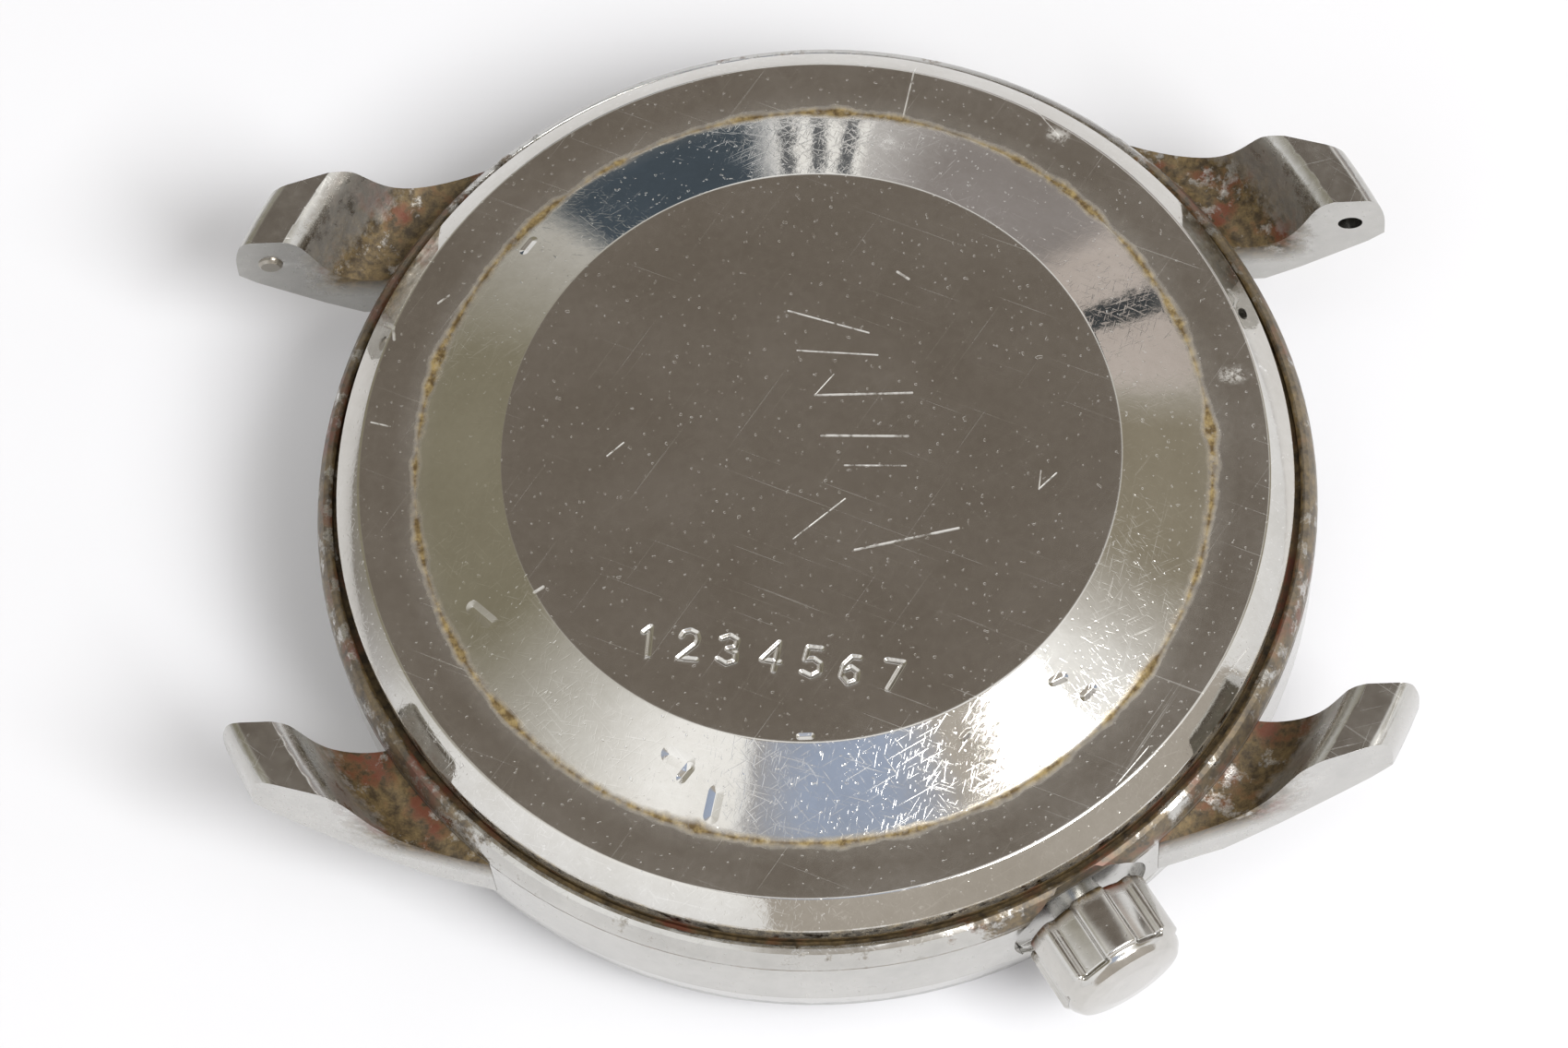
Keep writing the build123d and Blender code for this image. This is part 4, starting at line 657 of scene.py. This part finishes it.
def near_marks(steel, marks, soft):
    """One on any of the marks, each a segment with a half width, fading to nought over a soft border."""
    total = None
    for from_x, from_y, to_x, to_y, half in marks:
        run_x, run_y = to_x - from_x, to_y - from_y
        length = run_x * run_x + run_y * run_y
        px = steel.x - from_x
        py = steel.y - from_y
        t = ((px * run_x + py * run_y) / length).clipped()
        dx = px - t * run_x
        dy = py - t * run_y
        mark = 1.0 - (dx * dx + dy * dy).math("SQRT").rise(half * (1 - soft), half * (1 + soft))
        total = mark if total is None else total + mark
    return total.clipped()


def back_steel():
    """Satin disc and ring, bright cone and bevel, told apart by radius, with all the marks of wear and painted
    highlights on the bevel and the nicks.
    """
    steel = Finish("back_steel_scratched")
    ragged = steel.noise(1.1, 6.0, 0.75)
    cloud = steel.noise(0.3, 4.0, 0.6)
    fine = steel.noise(3.0, 4.0, 0.65)
    on_cone = (steel.r - 11.08).rise(0.0, 0.08) * (1.0 - (steel.r - 14.33).rise(0.0, 0.05))
    on_bevel = (steel.r - 16.42).rise(0.0, 0.06)
    bright = (on_cone + on_bevel).clipped()
    worked = steel.noise(0.16, 3.0, 0.6).rise(0.42, 0.58)
    dense = (
        steel.hairlines(28, 15.0, 50, 0.62, 0.74, 1)
        + steel.hairlines(-52, 16.0, 60, 0.63, 0.75, 2)
        + steel.hairlines(75, 18.0, 40, 0.63, 0.75, 3)
        + steel.hairlines(-15, 17.0, 36, 0.64, 0.76, 4)
    ).clipped()
    sparse = (steel.hairlines(55, 12.0, 90, 0.68, 0.78, 7) + steel.hairlines(-24, 13.0, 80, 0.69, 0.78, 8)).clipped()
    lines = dense * (0.10 + 0.70 * bright * worked) + sparse * 0.6
    dots = steel.noise(5.5, 1.0, 0.5).rise(0.705, 0.755)
    # Scratches, with the painted bevel highlights among them.
    marks = near_marks(steel, DISC_SCRATCHES + RING_SCRATCHES + BEVEL_LUG_GLINTS, 0.5)
    broken = steel.noise(2.6, 3.0, 0.7).rise(0.36, 0.52)
    marks = marks * (0.25 + 0.75 * broken)
    # Nicks are real dents, given as bump; their lightening in the colour is a painted highlight on each dent.
    nicks = near_marks(steel, CONE_NICKS, 0.9)
    spots = near_marks(steel, PALE_SPOTS, 0.7) * steel.noise(4.0, 4.0, 0.7).rise(0.42, 0.60)
    wander = steel.noise(0.5, 3.0, 0.6)
    off = (steel.r - 14.38).size() + (wander - 0.5) * 0.7 + (ragged - 0.5) * 0.25
    corner = (1.0 - off.rise(0.0, 0.26)) * ragged.rise(0.20, 0.48)
    stain = 1.0 - (steel.r - 14.5).size().rise(0.0, 0.8)
    rim = (steel.r - 17.30).rise(0.0, 0.06) * ragged.rise(0.42, 0.55)
    dirt = (corner + stain * 0.20 * ragged + rim * 0.8).clipped()
    colour = steel.blend((cloud * 0.7 + fine * 0.3).rise(0.35, 0.68), (0.55, 0.53, 0.49), (0.64, 0.625, 0.59))
    # Lighter where the metal is worn bare, plus painted highlights on the bevel strokes and on the nicks.
    bare_and_glints = (lines * 0.4 + marks * 0.9 + spots * 0.45 + dots * 0.4 + nicks * 0.3).clipped()
    colour = steel.blend(bare_and_glints, colour, (0.80, 0.79, 0.76))
    brown = steel.blend(fine.rise(0.4, 0.65), (0.11, 0.07, 0.025), (0.36, 0.27, 0.12))
    colour = steel.blend(dirt, colour, brown)
    satin = 0.135 - 0.10 * bright
    roughness = satin + (0.05 * cloud + 0.04 * fine) * (1.0 - 0.6 * bright)
    roughness = roughness + lines * 0.20 + marks * 0.35 + spots * 0.3 + dirt * 0.35
    height = cloud * 0.35 + fine * 0.04 - lines * 0.05 - marks * 0.22 - nicks * 1.5 - dots * 0.12 + dirt * fine * 0.4
    steel.give(
        Base_Color=colour,
        Roughness=roughness.clipped(),
        Metallic=(1.0 - 0.65 * dirt - 0.3 * spots).clipped(),
    )
    steel.bump(height, 0.06, 0.5)
    return steel.material


NUMERALS = (
    ((0.12, 0.80), (0.34, 1.0), (0.34, 0.0)),
    ((0.02, 0.76), (0.10, 0.93), (0.30, 1.0), (0.50, 0.93), (0.58, 0.74), (0.52, 0.55), (0.0, 0.0), (0.60, 0.0)),
    ((0.02, 0.86), (0.28, 1.0), (0.54, 0.88), (0.52, 0.62), (0.26, 0.53), (0.56, 0.42), (0.58, 0.14), (0.30, 0.0),
     (0.0, 0.14)),
    ((0.46, 0.0), (0.46, 1.0), (0.0, 0.32), (0.60, 0.32)),
    ((0.54, 1.0), (0.10, 1.0), (0.05, 0.56), (0.32, 0.62), (0.56, 0.48), (0.58, 0.20), (0.32, 0.0), (0.0, 0.12)),
    ((0.50, 0.96), (0.26, 0.94), (0.06, 0.62), (0.04, 0.22), (0.30, 0.0), (0.56, 0.16), (0.54, 0.46), (0.30, 0.58),
     (0.06, 0.40)),
    ((0.02, 1.0), (0.58, 1.0), (0.22, 0.0)),
)
NUMERAL_AT = (
    (-5.88, -7.10), (-4.44, -7.30), (-3.05, -7.54), (-1.53, -7.83), (-0.10, -8.12), (1.24, -8.45), (2.71, -8.73),
)
NUMERAL_TILT = (-6.0, -8.0, -10.0, -12.0, -9.0, -14.0, -11.0)
NUMERAL_TALL = 1.08
STROKE_HALF = 0.085
STROKE_DEEP = 0.07
BURR_AT = 0.115
BURR_HIGH = 0.008
STRUCK_AREA = (-6.9, 3.8, -9.8, -6.1)


def struck_depth(x, y):
    """Depth of the numerals: full on the line of a stroke, falling to nought at its half width, with a low burr."""
    strokes = []
    for shape, (cx, cy), tilt in zip(NUMERALS, NUMERAL_AT, NUMERAL_TILT):
        line = (np.array(shape) - (0.3, 0.5)) * NUMERAL_TALL
        c, s = math.cos(math.radians(tilt)), math.sin(math.radians(tilt))
        line = line @ np.array(((c, s), (-s, c))) + (cx, cy)
        strokes.append(np.stack((line[:-1], line[1:]), 1))
    strokes = np.concatenate(strokes)
    start, run = strokes[:, 0], strokes[:, 1] - strokes[:, 0]
    away = np.stack((x, y), -1)[:, None] - start
    t = np.clip((away * run).sum(-1) / (run * run).sum(-1), 0, 1)
    off = np.linalg.norm(away - t[..., None] * run, axis=-1).min(1)
    groove = np.clip(1 - (off / STROKE_HALF) ** 2, 0, 1)
    burr = np.exp(-(((off - BURR_AT) / 0.03) ** 2))
    return STROKE_DEEP * groove - BURR_HIGH * burr


def back_grid():
    """The profile turned round the axis, on bearings and radii that lie closer together where numerals are struck."""
    turn = np.radians(np.concatenate((np.linspace(-134, -66, 250), np.linspace(-66, 226, 245)[1:-1])))
    corners = (
        (0.0, 10.15), (10.7, 10.15), (13.95, 8.8), (15.6, 8.8), (15.6, 7.22), (16.58, 7.22), (16.58, 7.92),
        (17.33, 7.92), (RIM_R, 8.0), (RIM_R, 8.735), (BEVEL_R, RING_TOP), (CONE_FOOT_R, RING_TOP),
        (CONE_TOP_R, BACK_TOP), (10.0, BACK_TOP),
    )
    outer = rounded(corners, CORNER_ROUND, 4)
    inner = np.concatenate((np.linspace(9.75, 6.75, 86), np.linspace(6.0, 0.0, 8)))
    face = np.stack((inner, np.full(len(inner), BACK_TOP)), -1)
    profile = np.vstack((outer, face))
    radius, height = profile[:, :1], profile[:, 1:]
    x, y = radius * np.cos(turn), radius * np.sin(turn)
    z = height + 0 * turn
    left, right, low, high = STRUCK_AREA
    zone = (x > left) & (x < right) & (y > low) & (y < high) & (z > 10.9)
    z[zone] -= struck_depth(x[zone], y[zone])
    return np.stack((x, y, z), -1).reshape(-1, 3), ring_faces(len(profile), len(turn))


back_points, back_faces = back_grid()
back = put_mesh("case_back_struck", back_points, back_faces, back_steel(), "case")
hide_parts("case_back")

# ---------------------------------------------------- table, room and camera
# A pale table top just under the crystal, and a bright room with a few darker
# patches, told apart by direction. A soft key light comes from the lower right.
paper = Finish("table_top")
paper.give(Base_Color=paper.blend(paper.noise(0.02, 2.0), (0.77, 0.775, 0.80), (0.80, 0.805, 0.83)), Roughness=0.9)
TABLE_HALF = 0.5
TABLE_TOP = -2e-5
floor_mesh = bpy.data.meshes.new("table")
corners = ((-TABLE_HALF, -TABLE_HALF), (TABLE_HALF, -TABLE_HALF), (TABLE_HALF, TABLE_HALF), (-TABLE_HALF, TABLE_HALF))
floor_mesh.from_pydata([(x, y, TABLE_TOP) for x, y in corners], [], [(0, 1, 2, 3)])
floor_mesh.materials.append(paper.material)
floor = bpy.data.objects.new("table", floor_mesh)
bpy.context.scene.collection.objects.link(floor)

world = bpy.data.worlds.new("room")
bpy.context.scene.world = world
world.use_nodes = True
room = Tree(world.node_tree)
facing = room.node("ShaderNodeTexCoord", out="Generated")
side, ahead, above = room.split(facing)


def card(direction, inner_deg, outer_deg):
    """One inside a cone around a direction, nought outside a wider one."""
    length = math.sqrt(sum(c * c for c in direction))
    unit = tuple(c / length for c in direction)
    near = room.node("ShaderNodeVectorMath", {"operation": "DOT_PRODUCT"}, {0: facing, 1: unit}, out="Value")
    return near.rise(math.cos(math.radians(outer_deg)), math.cos(math.radians(inner_deg)))


sky = room.blend(card((0, 0, 1), 10, 100), (1.15, 1.16, 1.20), (1.50, 1.50, 1.50))
sky = room.blend(card((-0.92, 0.40, 0.0), 10, 34), sky, (0.42, 0.40, 0.40))
sky = room.blend(card((-0.72, 0.36, 0.60), 18, 46), sky, (0.36, 0.33, 0.245))
sky = room.blend(card((0.68, 0.30, 0.67), 9, 26), sky, (0.42, 0.375, 0.29))
in_front = room.blend((side + 0.19).rise(0.0, 0.012), sky, (0.66, 0.61, 0.55))
sky = room.blend((ahead + 0.16).rise(0.0, 0.02), in_front, sky)
sky = room.blend(card((0.03, -0.37, 0.93), 5, 14), sky, (0.56, 0.66, 0.88))
sky = room.blend(card((0.36, 0.86, 0.36), 10, 22), sky, (0.44, 0.405, 0.40))
sky = room.blend(card((-0.272, 0.905, 0.306), 9, 12), sky, (0.10, 0.13, 0.165))
bars = 1.0 - ((side * 21.0 + 5.2).math("FRACT") - 0.5).size().rise(0.24, 0.28)
window = (side + 0.075).rise(0.0, 0.005) * (1.0 - (side - 0.065).rise(0.0, 0.005)) * card((0.0, 0.96, 0.275), 8, 10)
sky = room.blend(window, sky, room.blend(bars, (0.16, 0.17, 0.19), (1.50, 1.50, 1.50)))
sky = room.blend(card((0.52, 0.66, 0.54), 8, 11), sky, (0.80, 0.72, 0.68))
strip = (1.0 - (ahead - side * 1.27).size().rise(0.035, 0.045)) * card((0.53, 0.67, 0.52), 14, 15)
sky = room.blend(strip, sky, (0.07, 0.08, 0.09))
sky = room.blend(card((-0.05, 0.42, 0.90), 16, 27), sky, (0.235, 0.20, 0.168))
background = world.node_tree.nodes["Background"]
world.node_tree.links.new(sky.socket, background.inputs["Color"])
background.inputs["Strength"].default_value = 0.9
bpy.context.scene.view_settings.view_transform = "Standard"

KEY_WATTS = 2.4
KEY_WIDE = 0.22
KEY_PLACE = (0.25, -0.22, 0.42)
KEY_TURN = (math.radians(40), 0, math.radians(48))
key = bpy.data.lights.new("key", "AREA")
key.energy = KEY_WATTS
key.size = KEY_WIDE
key_object = bpy.data.objects.new("key", key)
key_object.location = KEY_PLACE
key_object.rotation_euler = KEY_TURN
bpy.context.scene.collection.objects.link(key_object)

CAMERA_TURN = ((0.99865, 0.03581, 0.03773), (-0.01796, 0.91809, -0.39600), (-0.04882, 0.39478, 0.91748))
CAMERA_PLACE = (0.00582, -0.07443, 0.17693)
FOCAL_LENGTH = 116.75
FILM_WIDTH = 36.0
pose = np.eye(4)
pose[:3, :3] = CAMERA_TURN
pose[:3, 3] = CAMERA_PLACE
lens = bpy.data.cameras.new("camera")
lens.lens = FOCAL_LENGTH
lens.sensor_width = FILM_WIDTH
lens.clip_start = 0.01
camera = bpy.data.objects.new("camera", lens)
camera.matrix_world = pose.T
bpy.context.scene.collection.objects.link(camera)
bpy.context.scene.camera = camera
